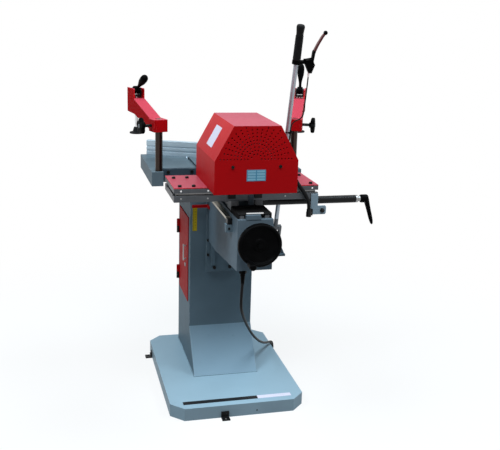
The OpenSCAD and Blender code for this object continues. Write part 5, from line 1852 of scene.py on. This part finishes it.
@dataclass
class MotorHead:
    """Hood, motor and chuck on the upper slide."""

    shop: Shop
    half: float = 130.0
    top_half: float = 72.5
    near: float = -431.0
    far: float = -133.0
    low: float = 812.0
    shoulder: float = 914.0
    high: float = 1019.0
    sheet: float = 3.0
    axis_z: float = 905.0
    bore_r: float = 33.0
    vent_r: float = 2.3
    vent_rays: int = 19
    vent_rings: int = 11
    vent_start: float = 16.0
    vent_step: float = 10.5
    every_ray: float = 44.0
    half_the_rays: float = 22.0
    plate_x: Pair = (-31.0, 29.0)
    plate_z: Pair = (852.0, 887.0)
    label_run: Pair = (25.0, 94.0)
    label_y: Pair = (-320.0, -242.0)
    cover_xs: Pair = (-170.0, -214.0, 170.0, 214.0)
    cover_ys: Pair = (-310.0, -184.0)
    screw_x: float = 74.0
    screw_z: float = 896.0
    chuck_y: float = -93.0
    chuck_r: float = 24.8
    ridges: int = 48
    gland_y: float = -338.0
    gland_z: float = 851.0
    ball_r: float = 9.2

    def vents(self) -> list[Spot]:
        """Places of the vent holes on rays from a point, with the way they face.

        Returns:
            The spots, with fewer rays near the point.
        """
        made = []
        for k in range(self.vent_rays):
            a = math.radians(180 * k / (self.vent_rays - 1))
            for ring in range(self.vent_rings):
                r = self.vent_start + self.vent_step * ring
                if k % (1 if r > self.every_ray else 2 if r > self.half_the_rays else 4):
                    continue
                x, z = r * math.cos(a) - 2, self.shoulder + 5 + r * math.sin(a)
                slope = (z - self.shoulder) / (self.high - self.shoulder)
                if abs(x) < self.half - (self.half - self.top_half) * slope - 10 and z < self.high - 6:
                    made.append((x, self.near - 2, z))
        return Along.Y.spots(*made)

    def outline(self, inset: float) -> list[Pair]:
        """Outline of the hood, drawn in by an inset.

        Args:
            inset: How far it is drawn in.

        Returns:
            Its corners in X and Z.
        """
        w, t = self.half - inset, self.top_half - inset * 0.5
        low = self.low - (5 if inset else 0)
        bend, top = self.shoulder - inset * 0.5, self.high - inset
        return [(-w, low), (w, low), (w, bend), (t, top), (-t, top), (-w, bend)]

    def hood(self) -> None:
        """Folds the sheet hood and cuts its vents."""
        shell = Solid().prism(self.outline(0), self.near, self.far, FRONT)
        shell.bevel(4.0, 4, where=lambda m, d: abs(d.y) > 50 and m.z > self.low + 1)
        shell.bevel(1.6, 2, where=lambda m, d: abs(d.y) < 1 and m.z > self.low + 1)
        obj = shown("hood_maker", shell.mesh("hood"))
        inside = Solid().prism(self.outline(self.sheet), self.near + self.sheet, self.far - self.sheet, FRONT)
        hollow = shown("hood_hollow", inside.mesh("hollow"))
        pin = Solid().rod(self.vent_r, 0, 8, Matrix(), 16)
        bore = Solid().rod(self.bore_r, -20, 20, Along.Y.at(0, self.far, self.axis_z), 64)
        bore.take(scattered("vent_pins", pin.mesh("vent_pin"), self.vents(), RED_PAINT))
        cutter = shown("hood_cutter", bore.mesh("hood_cutter"))
        for tool in (hollow, cutter):
            cut = obj.modifiers.new("cut", "BOOLEAN")
            cut.operation, cut.solver, cut.object = "DIFFERENCE", "EXACT", tool
        mesh = settle(obj).data
        for maker in (obj, hollow, cutter):
            bpy.data.objects.remove(maker)
        self.shop.add("hood_folded", mesh, RED_PAINT, "top_slide", ["hood_shell"])

    def labels(self) -> None:
        """Puts the bare label on the slope and the blank plate on the rear face."""
        y, (left, right), (low, high) = self.near - 0.5, self.plate_x, self.plate_z
        plate = Solid().box((left, y, low), (right, self.near + 0.1, high)).bevel(0.3, 1)
        self.shop.add("blank_plate", plate, PLATE_BLUE, "top_slide")
        unit = Solid().box((-12.6, -2.9, -0.1), (12.6, 2.9, 0.15)).mesh("plate_field")
        columns = (left + 15.5, right - 15.5)
        spots = Along.NEG_Y.spots(*[(x, y, low + 5 + 8.3 * k) for x in columns for k in range(4)])
        self.shop.scatter("plate_fields", unit, spots, FIELD_BLUE, "top_slide")
        run, rise = self.half - self.top_half, self.high - self.shoulder
        lean = math.degrees(math.atan2(rise, run))
        at = shift(-self.half, 0, self.shoulder) @ turned(-lean, "Y")
        (start, end), (near, far) = self.label_run, self.label_y
        corners = [(start, near), (end, near), (end, far), (start, far)]
        label = Solid().prism(corners, -0.1, 0.35, at, soft=3)
        self.shop.add("bare_label", label, LABEL_PALE, "top_slide")

    def motor(self) -> None:
        """Dresses the motor and makes the chuck's grip and the hood's screws."""
        self.shop.dress(IRON, "motor_housing", "motor_rotor")
        self.shop.soften("drill_chuck", STEEL, 0.5, over=2.5)
        ridge = Solid().box((-0.6, -11, -0.6), (0.6, 11, 0.7)).mesh("chuck_ridge")
        middle, rays = Vector((0, self.chuck_y, self.axis_z)), around(self.ridges)
        ways = [Vector((math.sin(a), 0, math.cos(a))) for a in rays]
        spots = [(middle + self.chuck_r * way, way) for way in ways]
        self.shop.scatter("chuck_ridges", ridge, spots, STEEL, "spindle")
        spots = Along.Z.spots(*[(x, y, self.low) for x in self.cover_xs for y in self.cover_ys])
        self.shop.scatter("top_screws", cap_screw(6, 6), spots, BLACK_STEEL, "top_slide", ["top_fittings"])
        spots = Along.NEG_Y.spots(*[(s * self.screw_x, self.near, self.screw_z) for s in (-1, 1)])
        self.shop.scatter("hood_screws", cap_screw(5, 4), spots, BLACK_STEEL, "top_slide")
        y, z = self.gland_y, self.gland_z
        gland = Solid().rod(9.6, 0, 4, Along.X.at(self.half - 0.5, y, z), 6)
        gland.rod(8.2, 0, 10, Along.X.at(self.half, y, z), 36)
        elbow = shift(self.half + 10, y, z)
        gland.ball(self.ball_r, elbow, 18, 36)
        sleeve = [(0, 2), (9, 2), (9, 9), (7.6, 13), (6.5, 30), (6.0, 31), (0, 31)]
        gland.lathe(sleeve, elbow @ turned(145, "Y"), 36, soft=1.0)
        self.shop.add("motor_gland", gland.bevel(0.5, 1, 50), BLACK_PLASTIC, "top_slide")

    def build(self) -> None:
        """Makes the whole motor head."""
        self.hood()
        self.labels()
        self.motor()


@dataclass
class Lever:
    """Control lever with its yoke, grip and brake-type hand lever."""

    shop: Shop
    place: Matrix
    bar_l: float = 650.0
    bar_d: float = 15.0
    rod_low: float = 76.0
    grip_d: float = 25.0
    grip_l: float = 114.0
    ribs: int = 15
    rib_step: float = 4.6
    adjuster_x: float = 46.5
    blade_x: float = 52.0
    ball_r: float = 7.0

    def bar(self) -> None:
        """Rounds the bar's fork and dresses the yoke and the link."""
        self.shop.soften("lever_bar", IRON, 0.8, over=4)
        r, low, high = self.bar_d / 2 + 0.08, self.rod_low, self.bar_l
        rod = Solid().lathe([(0, low), (r - 0.6, low), (r, low + 2), (r, high), (0, high)], self.place, 40)
        self.shop.add("lever_rod", rod, LEVER_STEEL, "lever")
        self.shop.soften("lever_yoke", IRON, 0.7, over=3)
        self.shop.soften("lever_link", IRON, 0.9)

    def grip(self) -> None:
        """Makes the rubber grip with its ribs, set out by Geometry Nodes."""
        r, low = self.grip_d / 2, self.bar_l + 12
        line = [
            (7.4, 0), (r, 0), (r + 0.6, 5), (r + 0.2, 34), (r, 62), (r - 1, 88), (r + 0.8, 105),
            (r + 0.8, 110), (r - 1.5, self.grip_l),
        ]
        start = self.place @ shift(0, 0, low)
        made = Solid().lathe([*rounded(line, 2.0), (0, self.grip_l)], start, 44)
        sizes = {"Ribs": self.ribs, "Step": self.rib_step * MM, "Radius": (r + 0.1) * MM, "Rib": 0.55 * MM}
        recipe = Recipe("grip_ribs", sizes)
        rings = []
        for size, steps in (("Radius", 40), ("Rib", 8)):
            sockets = {"Resolution": steps, "Radius": recipe.size(size)}
            rings.append(recipe.node("GeometryNodeCurvePrimitiveCircle", {}, sockets, out="Curve"))
        ring, bead = rings
        rib = recipe.node("GeometryNodeCurveToMesh", {}, {"Curve": ring, "Profile Curve": bead})
        ribs = recipe.run(recipe.copies(recipe.row("Ribs", "Step"), rib), SOFT_BLACK)
        spot = self.place @ shift(0, 0, low + 14)
        ribs.transform(Matrix.Translation(spot.translation * MM) @ spot.to_quaternion().to_matrix().to_4x4())
        self.shop.add("grip_sleeve", made, SOFT_BLACK, "lever", ["lever_grip"])
        self.shop.add("grip_ribs", ribs, SOFT_BLACK, "lever")

    def brake(self) -> None:
        """Makes the brake lever's mount, adjuster and two-tone blade."""
        top = self.bar_l
        self.shop.soften("brake_mount", BLACK_PLASTIC, 0.6, over=2.5)
        barrel = [(0, 0), (3.2, 0), (3.2, 7), (4.3, 8), (4.3, 14.5), (0, 14.5)]
        spot = self.place @ shift(self.adjuster_x, 0, top - 43.5)
        adjuster = Solid().lathe(barrel, spot, 24, soft=0.5)
        self.shop.add("brake_adjuster", adjuster, BRIGHT, "lever")
        place = self.place @ FRONT
        low = [(48.5, 2), (56, 2), (58, 36), (60.2, 43), (52.2, 45), (50, 40)]
        blade = Solid().prism([(x, top + z) for x, z in low], -6, 6, place, soft=2)
        hinge = self.place @ shift(self.blade_x, 0, top + 5) @ turned(-90, "X")
        blade.rod(6, -6, 6, hinge, 28)
        self.shop.add("brake_blade_root", blade.bevel(1.4, 3), BLACK_PLASTIC, "trigger", ["brake_blade"])
        high = [(51.6, 43), (59.6, 41), (67, 63), (79, 89), (85, 99), (82, 102), (74, 94), (61, 67)]
        upper = Solid().prism([(x, top + z) for x, z in high], -4.6, 4.6, place, soft=5)
        self.shop.add("brake_blade_tip", upper.bevel(1.6, 3), RED_BLADE, "trigger")
        ball = Solid().ball(self.ball_r, self.place @ shift(84.5, 0, top + 102.5), 16, 28)
        self.shop.add("brake_ball", ball, BLACK_PLASTIC, "trigger")

    def build(self) -> None:
        """Makes the whole lever."""
        self.bar()
        self.grip()
        self.brake()


LEVER_PIVOT = (174.0, -51.966, 560.0)
LEVER_TILT = 15.3


def main() -> None:
    """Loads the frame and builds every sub-assembly."""
    logging.basicConfig(level=logging.INFO, format="%(name)s %(message)s")
    for obj in list(bpy.data.objects):
        bpy.data.objects.remove(obj)
    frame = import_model()
    shop = Shop(frame)
    lever = Matrix.Translation(LEVER_PIVOT) @ turned(LEVER_TILT, "X")
    for assembly in (
        Studio(),
        Cables(shop, lever),
        Stand(shop),
        Table(shop),
        Clamp(shop, side=-1, swing=17.0, lean=57.0),
        Clamp(shop, side=1, swing=-22.0, lean=0.0),
        Knee(shop),
        Slides(shop),
        MotorHead(shop),
        Lever(shop, lever),
    ):
        LOG.info("building %s", type(assembly).__name__)
        assembly.build()


if __name__ == "__main__":
    main()
